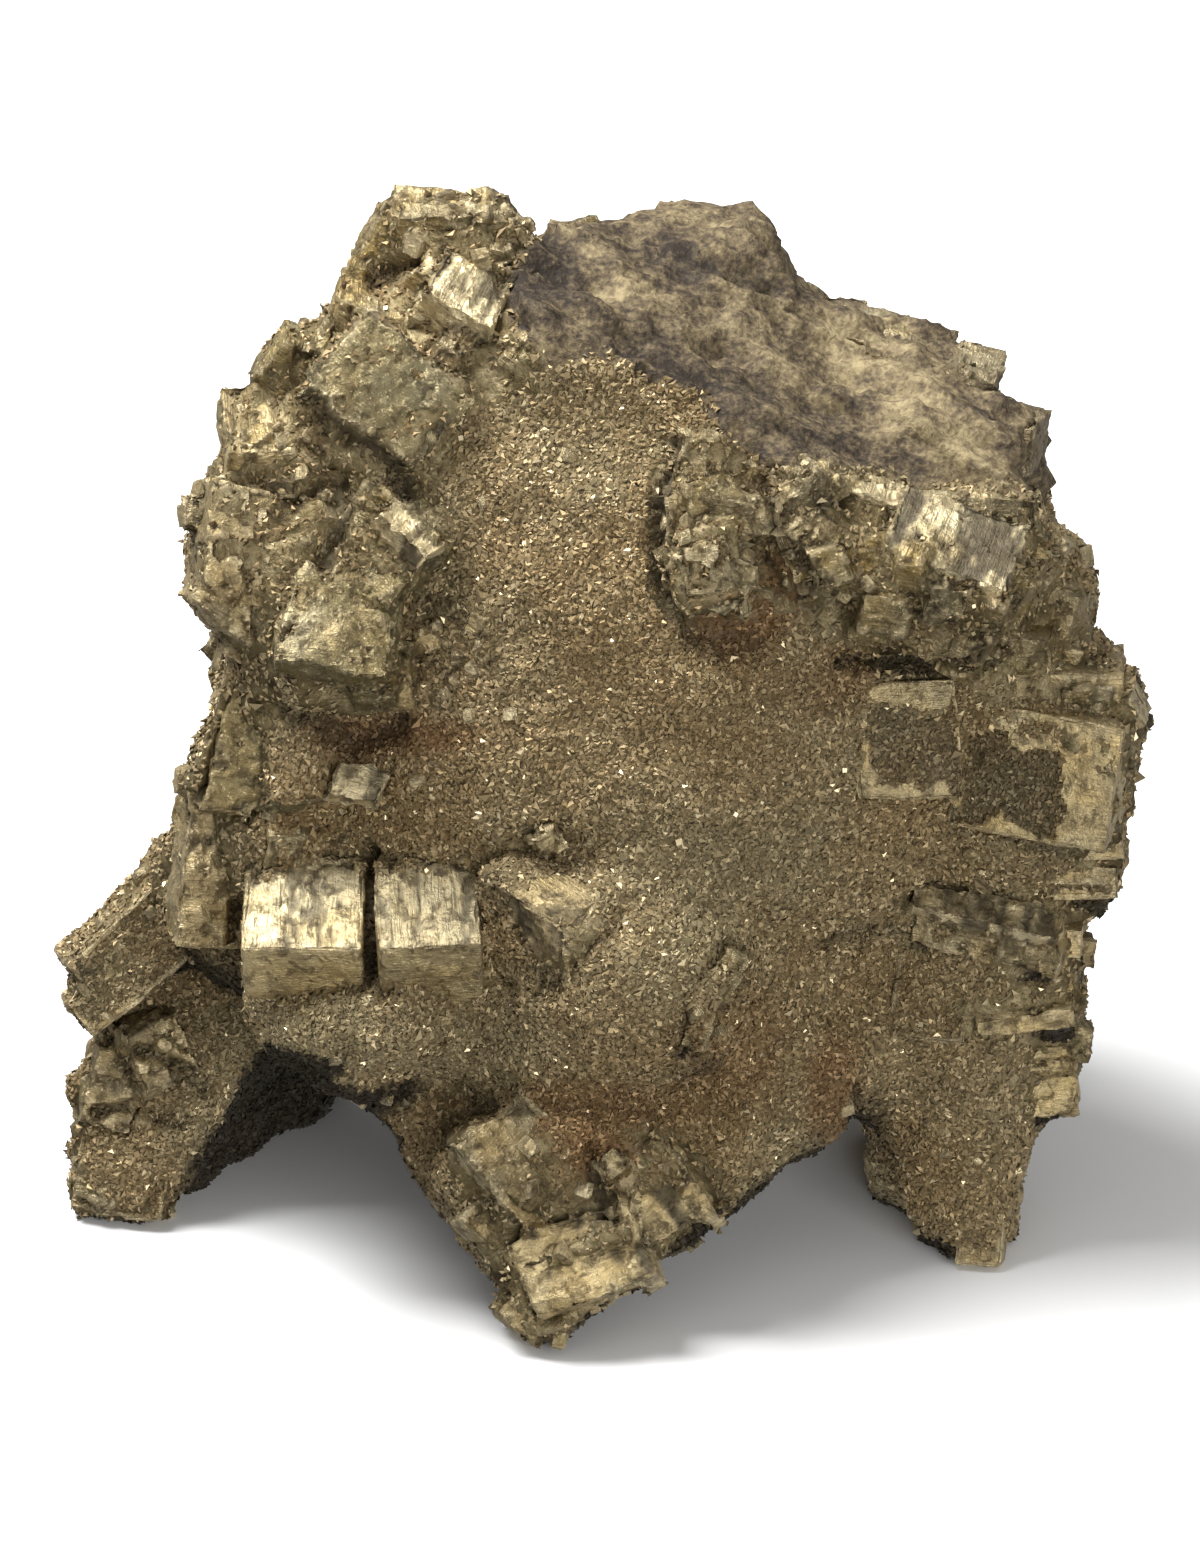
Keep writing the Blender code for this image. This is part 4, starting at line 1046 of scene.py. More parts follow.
def crystal_points(grid, sizes, seeds, look, name=""):
    """Points of like crystals, worn, stepped, striped and pitted, with what the material reads."""
    kind = LOOKS[look]
    many = len(grid)
    size = np.repeat(sizes, many, axis=0)
    local = (grid[None] * sizes[:, None]).reshape(-1, 3)
    pick = np.repeat(chances(np.stack([seeds, seeds], 1), 7), many, axis=0)
    place = local + pick * 700
    scale = np.clip(size.min(axis=1) / 7.0, 0.25, 1.0)
    moved, out = rounded(local, size, kind["wear"] * scale, place)
    depth, hollow, border, growth = face_detail(
        local, out, size, pick, place, kind, look == "striped"
    )
    wander = clouds(place, 3.0, 663, 2) * 0.4
    druse = smooth_step(0.10, 0.35, clouds(place, 5.0, 660, 2) * 0.5 + kind["druse"] - 0.42)
    if kind["rim"]:
        druse = smooth_step(0.5, 1.2, border + cloud(place, 1.8, 661) * 0.5)
        depth = depth + druse * 0.35
    if name in ("striped_left", "striped_right"):
        # Druse creeps over the rear of the top and up the foot of the front.
        rear = smooth_step(-0.68, -1.0, local[:, 2] * 2 / size[:, 2] + wander)
        foot = smooth_step(-0.2, -0.8, local[:, 1] * 2 / size[:, 1] + wander)
        druse = np.maximum(druse, np.where(out[:, 1] > 0.6, rear, foot))
    depth, druse = recess_depth(name, local, out, place, depth, druse)
    depth = np.clip(depth * (0.35 + 0.65 * scale), -0.04, 1.15)
    moved = moved - out * depth[:, None]
    moved, broken = cut_corner(name, moved, out, size)
    if name == "boss_corner":
        reach = np.linalg.norm(local - size / 2 * (-1, 1, 1), axis=1)
        druse = smooth_step(8.5, 10.5, reach + wander * 3)
    # Painted shade in the deep places, the pits and the grooves of the faces.
    dirt = np.clip(smooth_step(0.30, 1.0, depth) * 0.7 + hollow * scale, 0, 1)
    # A painted highlight along the borders of the faces, and on the break.
    edge = smooth_step(0.9, 0.2, border) * smooth_step(0.8, 0.3, depth) * (1 - druse)
    edge = np.maximum(edge, broken * 0.5)
    return dict(points=moved, out=out, place=place, druse=druse, dirt=dirt, edge=edge, growth=growth)


def overgrowth_rows(draw):
    """Blocks grown into the larger worn crystals, in line with them."""
    rows = []
    for name, centre, axes, sizes, look, tone in crystal_rows():
        if look in ("smooth", "striped", "rimmed", "fluted") or sizes.min() < 4.5:
            continue
        if name == "boss_corner" or "group" in name:
            continue
        for number in range(int(sizes.max() / 2.6)):
            edge = sizes.min() * draw.uniform(0.24, 0.46)
            place = draw.uniform(-0.5, 0.5, 3)
            axis = draw.integers(2)
            place[axis] = math.copysign(0.5, place[axis])
            place[2] = draw.uniform(-0.4, 0.42)
            local = place * sizes - np.sign(place) * (edge * 0.3, edge * 0.3, edge * 0.4)
            block = edge * draw.uniform(0.65, 1.35, 3)
            rows.append(("block", centre + axes @ local * MM, axes, block, look, tone))
    return rows


def crystal_tone(shape, colours, striped=False):
    """Each point's colour: the crystal's own, in patches, with painted light on striped tops and on its
    edges.
    """
    place = shape["place"]
    # Painted light: the top face of a striped cube is painted cream.
    if striped:
        top = smooth_step(0.4, 0.7, shape["out"][:, 1])[:, None]
        colours = colours * (1 - top) + np.array(TONES["cream"]) * top
    lift = 1 + 0.2 * cloud(place, 40.0, 670)
    grey = smooth_step(0.0, 0.5, clouds(place, 3.4, 671, 2))[:, None] * 0.30
    colours = colours * (1 - grey) + colours.mean(axis=1, keepdims=True) * (1.0, 0.94, 0.64) * grey
    olive = smooth_step(0.1, 0.6, clouds(place, 4.5, 674, 2))[:, None] * 0.4
    colours = colours * (1 - olive) + colours * (0.86, 0.76, 0.52) * olive
    spots = cloud(place, 1.1, 677) * 0.16 + cloud(place, 0.6, 678) * 0.14
    # Painted highlight: paler along the edges.
    pale = (shape["edge"] * 0.6)[:, None]
    colours = colours * (1 - pale) + np.array((0.50, 0.41, 0.25)) * pale
    return np.clip(colours * (lift * (1 + spots))[:, None], 0.01, 0.9)


def step_size(row):
    """The spacing of a crystal's points: finest on the striped cubes of the show face."""
    if row[0].startswith("group") or row[0] == "block":
        return 0.62
    if row[0] == "crumb":
        return 1.0
    return 0.26 if row[4] == "striped" else 0.40


def add_crystals(pile, rows, seeds, grids):
    """Adds crystals that have one look and one grid."""
    steps = int(np.clip(round(rows[0][3].max() / step_size(rows[0])), 3, 54))
    if steps not in grids:
        grids[steps] = cube_grid(steps)
    grid, quads = grids[steps]
    look = rows[0][4]
    sizes = np.array([row[3] for row in rows])
    shape = crystal_points(grid, sizes, np.array(seeds), look, rows[0][0])
    tones = np.repeat(np.array([TONES[row[5]] for row in rows]), len(grid), axis=0)
    axes = np.array([row[2] for row in rows])
    centres = np.array([row[1] for row in rows])
    local = shape["points"].reshape(len(rows), -1, 3)
    world = centres[:, None] + np.einsum("nij,nkj->nki", axes, local) * MM
    shine = np.repeat([SHINE.get(row[5], 0.3) for row in rows], len(grid))
    count = (np.arange(len(rows)) * len(grid))[:, None, None]
    pile.add(
        world.reshape(-1, 3), (quads[None] + count).reshape(-1, 4),
        tone=crystal_tone(shape, tones, look == "striped"), polish=shine + shape["edge"] * 0.3,
        druse=shape["druse"], dirt=shape["dirt"], growth=shape["growth"],
    )


def hollows(item, rounds):
    """How far each point lies in a hollow (above 0) or on an edge (below 0), in millimetres."""
    mesh = item.data
    ends = np.empty(len(mesh.edges) * 2, np.int32)
    mesh.edges.foreach_get("vertices", ends)
    ends = ends.reshape(-1, 2)
    first = np.concatenate([ends[:, 0], ends[:, 1]])
    other = np.concatenate([ends[:, 1], ends[:, 0]])
    points = points_of(mesh)
    many = np.maximum(np.bincount(first, minlength=len(points)), 1)
    soft = points.copy()
    for step in range(rounds):
        total = [np.bincount(first, soft[other, k], minlength=len(points)) for k in range(3)]
        soft = soft * 0.4 + np.stack(total, 1) / many[:, None] * 0.6
    return np.einsum("ij,ij->i", soft - points, normals_of(mesh)) / MM


def rough_boxes(rows, grid, quads):
    """The crystals of a cluster as uneven boxes."""
    points, faces = [], []
    for number, (name, centre, axes, sizes, look, tone) in enumerate(rows):
        local = grid * sizes
        bend = np.stack([cloud(local + number * 31, 5.0, 801 + k) for k in range(3)], 1)
        local = local + bend * sizes.min() * 0.07
        faces.append(quads + len(grid) * number)
        points.append(centre + local @ axes.T * MM)
    return np.concatenate(points), np.concatenate(faces)


def owners(points, rows):
    """The crystal that each point of a cluster belongs to."""
    best = np.full(len(points), 1e9)
    owner = np.zeros(len(points), int)
    for number, (name, centre, axes, sizes, look, tone) in enumerate(rows):
        reach = np.linalg.norm(sizes) * 0.5 * MM + 0.002
        near = np.where(np.max(np.abs(points - centre), axis=1) < reach)[0]
        if len(near):
            gap = np.abs(box_gap(points[near], centre, axes, sizes))
            closer = gap < best[near]
            best[near[closer]] = gap[closer]
            owner[near[closer]] = number
    return owner


def build_cluster(name, rows, settings, grid, quads):
    """Worn crystals that are grown together, as one closed surface."""
    item = mesh_object(name, *rough_boxes(rows, grid, quads))
    take(item)
    joined = item.modifiers.new("joined", "REMESH")
    joined.mode = "VOXEL"
    joined.voxel_size = settings.cluster_voxel
    bpy.ops.object.modifier_apply(modifier="joined")
    worn = item.modifiers.new("worn", "SMOOTH")
    worn.factor = 0.5
    worn.iterations = settings.cluster_wear
    bpy.ops.object.modifier_apply(modifier="worn")
    points, normals = points_of(item.data), normals_of(item.data)
    owner = owners(points, rows)
    axes = np.array([row[2] for row in rows])[owner]
    size = np.array([row[3] for row in rows])[owner]
    centre = np.array([row[1] for row in rows])[owner]
    local = np.einsum("ni,nij->nj", points - centre, axes) / MM
    out = np.einsum("ni,nij->nj", normals, axes)
    number = owner.astype(float)
    pick = chances(np.stack([number, number], 1), 7 + settings.seed)
    kind = {
        key: np.array([LOOKS[row[4]][key] for row in rows])[owner]
        for key in ("lump", "crumb", "fine", "stripe", "step", "pit", "druse")
    }
    place = points / MM + 300
    depth, hollow, border, growth = face_detail(local, out, size, pick, place, kind, False)
    depth = np.clip(depth, -0.1, 1.1)
    wide = clouds(place, 9.0, 690, 2) * 0.22
    points = points - normals * ((depth + wide) * MM)[:, None]
    put_points(item.data, inside_box(points))
    across, up, back = show_place(points)
    crack = crack_depth(points, normals, across, up)
    ragged = cloud(place, 2.4, 646) * 1.6
    pits = inside(PITTED, across + ragged, up + ragged, 0.4) * smooth_step(-0.35, 0.1, normals[:, 1] * -1)
    pits = pits * smooth_step(-0.05, 0.15, facets(place * (1.0, 1.0, 0.7), 1.7, 645, 0.5))
    points = points - normals * ((crack * 0.8 + pits * 1.1) * MM)[:, None]
    put_points(item.data, inside_box(points))
    bowl = hollows(item, 14)
    druse = smooth_step(0.10, 0.35, clouds(place, 5.0, 660, 2) * 0.5 + kind["druse"] - 0.47)
    druse = np.maximum(druse, smooth_step(0.20, 0.40, bowl) * 0.7)
    # Painted shade in the deep places, pits, creases and cracks.
    dirt = np.clip(smooth_step(0.4, 1.0, depth) * 0.5 + hollow, 0, 1)
    dirt = np.maximum(dirt, smooth_step(0.08, 0.40, bowl) * 0.9)
    dirt = np.maximum(dirt, np.maximum(smooth_step(0.3, 1.3, crack) * 0.9, pits))
    # Painted highlight on the ridges.
    edge = smooth_step(0.10, 0.40, -bowl) * (1 - dirt)
    shape = dict(place=place, edge=edge)
    tones = np.array([TONES[row[5]] for row in rows])[owner]
    # Painted light: faces that look up are painted brighter, towards cream, in places, and polished more.
    painted_light = smooth_step(0.62, 0.86, normals[:, 2]) * smooth_step(-0.2, 0.3, clouds(place, 6.0, 691, 2))
    tones = tones + (np.array(TONES["cream"]) - tones) * (painted_light * 0.55)[:, None]
    add_colours(item.data, "tone", crystal_tone(shape, tones))
    shine = np.array([SHINE.get(row[5], 0.3) for row in rows])[owner]
    add_values(item.data, "polish", np.maximum(shine, painted_light))
    add_values(item.data, "druse", druse)
    add_values(item.data, "dirt", dirt)
    add_vectors(item.data, "growth", growth)
    take(item)
    bpy.ops.object.shade_smooth_by_angle(angle=math.radians(32))
    finish_piece(item, bpy.data.materials["crystal_faces"])
    item.data.calc_loop_triangles()
    print("CLUSTER", name, len(rows), len(item.data.loop_triangles))


def cluster_name(row):
    if row[0].startswith("group"):
        return "cluster_behind"
    across, up, back = (float(v[0]) for v in show_place(row[1][None]))
    if up > 70:
        return "cluster_upper_left" if across < 1 else "cluster_upper_right"
    return "cluster_lower_left" if across < 20 else "cluster_lower_right"


def crystal_material():
    board = Board("crystal_faces")
    place = board.place()
    tone = board.attribute("tone", "Color")
    polish = board.attribute("polish")
    druse = board.attribute("druse")
    dirt = board.attribute("dirt")
    growth = board.attribute("growth", "Vector")
    stretched = board.node("ShaderNodeMapping", None, {"Vector": growth, "Scale": (0.35, 3.2, 1)})
    streak = board.noise(stretched, 1.0, 3.0, 0.6)
    fine = board.noise(place, 1900.0, 3.0, 0.65)
    coarse = board.noise(place, 620.0, 5.0, 0.66, 0.5)
    broad = board.noise(place, 170.0, 3.0, 0.6, 0.8)
    base = board.mix(board.between(broad, 0.50, 0.66) * 0.45, tone, colour((0.135, 0.100, 0.050)))
    base = board.mix(board.between(coarse, 0.51, 0.62) * 0.65, base, colour((0.060, 0.041, 0.018)))
    base = board.mix(board.between(streak, 0.54, 0.70) * 0.35, base, colour((0.12, 0.088, 0.040)))
    # Painted glints: small pale cream spots.
    base = board.mix(board.between(fine, 0.56, 0.68) * 0.5, base, colour((0.70, 0.58, 0.34)))
    base = board.mix(druse * 0.75, base, colour((0.14, 0.100, 0.048)))
    # Painted shade in the recesses, pits, creases and cracks, which are also duller and rougher.
    base = board.mix(dirt * 0.85, base, colour((0.042, 0.030, 0.015)))
    board.out("Base Color", base)
    board.out("Metallic", 0.68 - dirt * 0.3)
    board.out("Roughness", 0.49 - polish * 0.05 + (coarse - 0.5) * 0.4 + dirt * 0.15)
    height = fine * 0.5 + coarse * 1.1 + streak * 0.6
    board.out("Normal", board.bump(height, 0.85, 0.42))
    return board.material


def druse_patches(places):
    """How brown (above 0) or grey-green (below 0) the druse is at each place."""
    return np.clip(clouds(places / MM, 11.0, 85, 3) * 1.3, -1, 1)


def add_vectors(mesh, name, vectors):
    attribute = mesh.attributes.new(name, "FLOAT_VECTOR", "POINT")
    attribute.data.foreach_set("vector", vectors.astype(np.float32).ravel())


def pile_object(name, pile):
    item = mesh_object(name, inside_box(np.concatenate(pile.points)), np.concatenate(pile.quads))
    values = {key: np.concatenate(parts) for key, parts in pile.values.items() if parts}
    add_colours(item.data, "tone", values.pop("tone"))
    if "growth" in values:
        add_vectors(item.data, "growth", values.pop("growth"))
    for key, value in values.items():
        add_values(item.data, key, value)
    return item


def pile_name(row):
    """The piece that a single crystal belongs to, by its place."""
    if row[0].startswith("group"):
        return "crystals_behind"
    if row[4] == "striped":
        return "striped_cubes"
    across, up, back = (float(v[0]) for v in show_place(row[1][None]))
    return "crystals_left" if across < 10 else "crystals_right"


def build_crystals(settings):
    piles, grids, clusters = {}, {}, {}
    material = crystal_material()
    blocks = np.random.default_rng(SEED + 1)
    rows = crystal_rows()
    for number, row in enumerate(rows):
        if in_cluster(row):
            clusters.setdefault(cluster_name(row), []).append(row)
            continue
        pile = piles.setdefault(pile_name(row), CrystalPile())
        add_crystals(pile, [row], [settings.seed + 100 + number * 7], grids)
    for name, pile in piles.items():
        item = pile_object(name, pile)
        take(item)
        bpy.ops.object.shade_smooth_by_angle(angle=math.radians(25))
        finish_piece(item, material)
        print("PILE", name, pile.triangles())
    for row in overgrowth_rows(blocks) + block_rows(blocks):
        clusters.setdefault(cluster_name(row), []).append(row)
    grid, quads = cube_grid(3)
    for name, members in clusters.items():
        build_cluster(name, members, settings, grid, quads)


def in_cluster(row):
    """Whether a crystal is worn and grown together with its neighbours."""
    if row[0] == "boss_corner":
        return False
    return row[4] in ("worn", "grainy", "crumbly", "holed", "fluted")


def add_many(pile, rows, first_seed):
    """Adds many crystals, those of one look and grid together."""
    grids, sets = {}, {}
    for number, row in enumerate(rows):
        steps = int(np.clip(round(row[3].max() / step_size(row)), 3, 54))
        sets.setdefault((row[4], steps), []).append((row, first_seed + number))
    for members in sets.values():
        add_crystals(pile, [row for row, seed in members], [seed for row, seed in members], grids)


def scattered(draw, per_mm2):
    """Random places on the mass: points, ways out and places on the show face."""
    mass = bpy.data.objects["pyrite_mass"]
    share = (1 - value_of(mass.data, "rock") * 0.8) * (1 - value_of(mass.data, "cover"))
    spots, out, corner = scatter(mass, share, per_mm2, draw)
    across, up, back = show_place(spots)
    facing = out @ np.array(show_frame().col[2])
    return spots, out, across, up, facing


def block_rows(draw):
    """The blocks that are grown over the worn areas, in line with the nearest crystal."""
    spots, out, across, up, facing = scattered(draw, 2.0)
    crystals = [row for row in crystal_rows() if "group" not in row[0]]
    middles = np.array([row[1] for row in crystals])
    reaches = np.array([row[3].max() * 0.5 * MM for row in crystals])
    rows = []
    looks = ("worn", "crumbly", "grainy", "worn", "worn")
    tones = ("tan", "olive", "grey", "yellow", "tan", "green", "brown")
    for area, count, small, large in BLOCKS_ON_WORN:
        share = inside(WORN_AREAS[area], across, up, 0.3) * (facing > -0.1)
        near = np.where(share > 0.6)[0]
        for index in near[draw.permutation(len(near))[:count]]:
            gaps = np.linalg.norm(middles - spots[index], axis=1) - reaches
            edge = small + (large - small) * draw.random() ** 1.4
            lean = np.array(turned(*draw.normal(0, 6, 3)))
            centre = spots[index] - out[index] * edge * draw.uniform(0.05, 0.3) * MM
            sizes = edge * draw.uniform(0.65, 1.35, 3)
            look, tone = looks[draw.integers(5)], tones[draw.integers(7)]
            axes = crystals[int(np.argmin(gaps))][2] @ lean
            rows.append(("block", centre, axes, sizes, look, tone))
    return rows


def crumb_rows(draw):
    """Small crystals: in the patches of the show face and here and there on the whole mass."""
    spots, out, across, up, facing = scattered(draw, 1.2)
    chosen, edges = [], []
    for x, y, wide, tall, count, small, large in CRUMBS:
        near = np.where((facing > 0) & (np.hypot((across - x) / wide, (up - y) / tall) < 1))[0]
        some = near[draw.permutation(len(near))[: count // 2]]
        chosen.append(some)
        edges.append(draw.uniform(small, large, len(some)))
    anywhere = draw.permutation(len(spots))[:180]
    chosen.append(anywhere)
    edges.append(np.clip(np.exp(draw.normal(0.1, 0.35, len(anywhere))), 0.7, 2.4))
    index, edge = np.concatenate(chosen), np.concatenate(edges)
    turns = tangent_turns(draw, out[index], math.radians(28))
    centres = spots[index] - out[index] * (edge * 0.12 * MM)[:, None]
    sizes = edge[:, None] * draw.uniform(0.75, 1.25, (len(edge), 3))
    looks = ("worn", "crumbly", "grainy", "smooth")
    tones = ("tan", "tan", "grey", "brown", "cream", "olive", "tan")
    return [
        ("crumb", centres[n], turns[n], sizes[n], looks[n % 4], tones[n % 7])
        for n in range(len(index))
    ]


# ---------------------------------------------------------------- druse


def scatter(item, weights, per_mm2, draw):
    """Random points on a mesh, denser where the weights are high: places, normals, faces."""
    mesh = item.data
    mesh.calc_loop_triangles()
    tris = np.empty(len(mesh.loop_triangles) * 3, np.int32)
    mesh.loop_triangles.foreach_get("vertices", tris)
    tris = tris.reshape(-1, 3)
    points = points_of(mesh)
    a, b, c = (points[tris[:, i]] for i in range(3))
    cross = np.cross(b - a, c - a)
    area = np.linalg.norm(cross, axis=1) / 2
    normal = cross / np.maximum(area * 2, 1e-12)[:, None]
    share = weights[tris].mean(axis=1)
    expected = area / MM**2 * per_mm2 * share
    count = draw.poisson(expected)
    face = np.repeat(np.arange(len(tris)), count)
    r1, r2 = np.sqrt(draw.random(len(face))), draw.random(len(face))
    spots = (
        a[face] * (1 - r1)[:, None] + b[face] * (r1 * (1 - r2))[:, None] + c[face] * (r1 * r2)[:, None]
    )
    return spots, normal[face], tris[face, 0]


def spaced(spots, gap):
    """Keeps one point in each small cell, so that grains don't pile up."""
    cells = np.floor(spots / gap).astype(np.int64)
    key = cells[:, 0] * 73856093 ^ cells[:, 1] * 19349663 ^ cells[:, 2] * 83492791
    return np.unique(key, return_index=True)[1]


def grain_material():
    board = Board("druse_grains")
    place = board.place()
    tone = board.attribute("tone", "Color")
    polish = board.attribute("polish")
    fine = board.noise(place, 2400.0, 2.0, 0.5)
    base = board.mix(board.between(fine, 0.5, 0.8) * 0.3, tone, colour((0.10, 0.072, 0.035)))
    board.out("Base Color", base)
    board.out("Metallic", 0.62)
    board.out("Roughness", 0.64 - polish * 0.28)
    return board.material


def corner_grain():
    """The corner of a cube that grows out of the crust, pointing up, with a closed foot."""
    tip = np.array(((0, 0, 0), (-1, 0, 0), (0, -1, 0), (0, 0, -1)), float)
    up = np.array((1, 1, 1)) / math.sqrt(3)
    side = np.cross(up, (0, 0, 1))
    side /= np.linalg.norm(side)
    frame_axes = np.stack([side, np.cross(up, side), up * 0.72])
    faces = np.array(((0, 1, 2), (0, 2, 3), (0, 3, 1), (1, 3, 2)), np.int32)
    return tip @ frame_axes.T, faces


def value_of(mesh, name):
    found = np.zeros(len(mesh.vertices), np.float32)
    if name in mesh.attributes:
        mesh.attributes[name].data.foreach_get("value", found)
    return found


def druse_surfaces():
    """The pieces that grains grow on, with the share of druse, rust and painted shade at their points."""
    found = []
    for item in bpy.context.scene.objects:
        if item.type != "MESH" or "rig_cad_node" in item:
            continue
        mesh = item.data
        if "rock" in mesh.attributes:
            share = (1 - value_of(mesh, "rock")) * smooth_step(0.5, 0.1, value_of(mesh, "cover"))
            share *= 1 - 0.9 * value_of(mesh, "worn")
            shade = smooth_step(0.25, 0.9, value_of(mesh, "shade")) * 0.6
            dark = np.maximum(value_of(mesh, "under"), shade)
            found.append((item, share * (1 - 0.4 * dark), value_of(mesh, "rust"), dark))
        elif "druse" in mesh.attributes:
            share = smooth_step(0.1, 0.7, value_of(mesh, "druse"))
            found.append((item, share, np.zeros(len(share)), value_of(mesh, "dirt") * 0.6))
    return found


def tangent_turns(draw, out, most_lean):
    """Turns that carry up to nearly the way out, with a lean and any spin."""
    count = len(out)
    lean = draw.normal(size=(count, 3)) * math.tan(most_lean)
    up = out + lean * 0.6
    up /= np.linalg.norm(up, axis=1, keepdims=True)
    other = draw.normal(size=(count, 3))
    side = np.cross(up, other)
    side /= np.maximum(np.linalg.norm(side, axis=1, keepdims=True), 1e-9)
    return np.stack([side, np.cross(up, side), up], axis=2)


def grow_grains(settings, draw):
    """The places of all the grains: points, ways out, rust and painted shade."""
    places, outs, rusts, darks = [], [], [], []
    for item, share, rust, dark in druse_surfaces():
        spots, out, corner = scatter(item, share, settings.grains_per_mm2, draw)
        places.append(spots)
        outs.append(out)
        rusts.append(rust[corner])
        darks.append(dark[corner])
    spots, out = np.concatenate(places), np.concatenate(outs)
    rust, dark = np.concatenate(rusts), np.concatenate(darks)
    keep = spaced(spots, settings.grain_gap)
    # The sides and the back have fewer grains than the show face.
    facing = out[keep] @ np.array(show_frame().col[2])
    chosen = draw.random(len(keep)) < np.where(facing > -0.05, 1.0, settings.back_share)
    keep = keep[chosen]
    keep = keep[np.argsort(np.arctan2(spots[keep, 1], spots[keep, 0]))]
    return spots[keep], out[keep], rust[keep], dark[keep]


def grain_tones(draw, count, rust, dark, patch):
    level = np.clip(draw.normal(1.0, 0.22, count), 0.35, 1.8)
    tone = np.array((0.292, 0.220, 0.116)) * level[:, None]
    brown = np.clip(patch + draw.normal(0, 0.35, count), 0, 1)[:, None] * 0.55
    tone = tone * (1 - brown) + np.array((0.255, 0.170, 0.074)) * brown
    green = np.clip(-patch + draw.normal(0, 0.35, count), 0, 1)[:, None] * 0.5
    tone = tone * (1 - green) + np.array((0.265, 0.228, 0.132)) * green
    # Painted glints: a few grains are painted pale cream, and get the most polish.
    painted_light = draw.random(count) < 0.035
    tone[painted_light] = np.array((0.62, 0.51, 0.31))
    rusty = (rust * 0.7)[:, None]
    tone = tone * (1 - rusty) + np.array((0.19, 0.095, 0.034)) * rusty
    # Painted shade on the grains in hollows, on the underside and in cracks.
    tone = tone * (1 - 0.9 * dark)[:, None]
    polish = np.where(painted_light, 1.0, draw.random(count) * 0.6)
    return tone, polish * (1 - dark)


def grain_object(name, shape, faces, centres, turns, sizes, tone, polish, material):
    """One mesh of many grains."""
    local = shape[None] * sizes[:, None, None]
    points = centres[:, None] + np.einsum("nij,nkj->nki", turns, local)
    rows = (np.arange(len(centres)) * len(shape))[:, None, None] + faces[None]
    item = mesh_object(name, inside_box(points.reshape(-1, 3)), rows.reshape(-1, faces.shape[1]))
    add_colours(item.data, "tone", np.repeat(tone, len(shape), axis=0))
    add_values(item.data, "polish", np.repeat(polish, len(shape)))
    item.data.shade_flat()
    finish_piece(item, material)


def build_druse(settings):
    draw = np.random.default_rng(SEED)
    spots, out, rust, dark = grow_grains(settings, draw)
    count = len(spots)
    tone, polish = grain_tones(draw, count, rust, dark, druse_patches(spots))
    size = settings.grain_size * np.exp(draw.normal(0, 0.24, count))
    size = np.clip(size, 0.2 * MM, 1.0 * MM)
    material = grain_material()
    whole = draw.random(count) < settings.whole_share
    corner_shape, corner_faces = corner_grain()
    cube_shape, cube_faces = cube_grid(1)
    kinds = (
        ("druse_corners", corner_shape, corner_faces, ~whole, 45000, 1.25, 0.50),
        ("druse_cubes", cube_shape, cube_faces, whole, 15000, 0.80, 0.12),
    )
    for name, shape, faces, chosen, most, scale, lift in kinds:
        index = np.where(chosen)[0]
        for number, start in enumerate(range(0, len(index), most)):
            part = index[start : start + most]
            turns = tangent_turns(draw, out[part], math.radians(30))
            sizes = size[part] * scale
            centres = spots[part] + out[part] * (sizes * lift)[:, None]
            grain_object(
                "%s_%d" % (name, number + 1), shape, faces, centres, turns, sizes, tone[part],
                polish[part], material,
            )
        print("GRAINS", name, len(index))


def build_crumbs(settings):
    draw = np.random.default_rng(SEED + 1)
    pile, rows = CrystalPile(), crumb_rows(draw)
    add_many(pile, rows, settings.seed + 3000)
    item = pile_object("small_crystals", pile)
    take(item)
    bpy.ops.object.shade_smooth_by_angle(angle=math.radians(25))
    finish_piece(item, bpy.data.materials["crystal_faces"])
    print("CRUMBS", len(rows), pile.triangles())


# ---------------------------------------------------------------- stage


def floor_material(settings):
    board = Board("floor")
    board.out("Base Color", colour(settings.floor_colour))
    board.out("Roughness", 0.9)
    board.shader.inputs["Specular IOR Level"].default_value = 0.0
    return board.material


def build_floor(settings):
    deselect()
    bpy.ops.mesh.primitive_circle_add(vertices=96, radius=settings.floor_radius, fill_type="NGON")
    floor = bpy.context.object
    floor.name = "floor"
    floor.data.materials.append(floor_material(settings))
    floor.visible_glossy = False
    floor.visible_diffuse = False


def build_world(settings):
    world = bpy.data.worlds.new("studio")
    bpy.context.scene.world = world
    world.use_nodes = True
    tree = world.node_tree
    back = tree.nodes["Background"]
    coords = tree.nodes.new("ShaderNodeTexCoord")
    split = tree.nodes.new("ShaderNodeSeparateXYZ")
    ramp = tree.nodes.new("ShaderNodeValToRGB")
    scale = tree.nodes.new("ShaderNodeMapRange")
    scale.inputs[1].default_value = -1.0
    tree.links.new(coords.outputs["Generated"], split.inputs[0])
    tree.links.new(split.outputs[2], scale.inputs[0])
    tree.links.new(scale.outputs[0], ramp.inputs[0])
    tree.links.new(ramp.outputs[0], back.inputs[0])
    stops = [(0.20, 0.50), (0.50, 0.45), (0.72, 0.30), (0.95, 0.50)]
    elements = ramp.color_ramp.elements
    while len(elements) < len(stops):
        elements.new(0.5)
    for element, (place, level) in zip(elements, stops):
        element.position = place
        element.color = (level, level, level, 1)
    back.inputs[1].default_value = settings.sky_strength


def soft_light(name, place, size, power, aim):
    deselect()
    bpy.ops.object.light_add(type="AREA", location=place)
    light = bpy.context.object
    light.name = name
    light.data.size = size
    light.data.energy = power
    light.visible_camera = False
    light.rotation_euler = (Vector(aim) - Vector(place)).to_track_quat("-Z", "Y").to_euler()
    return light


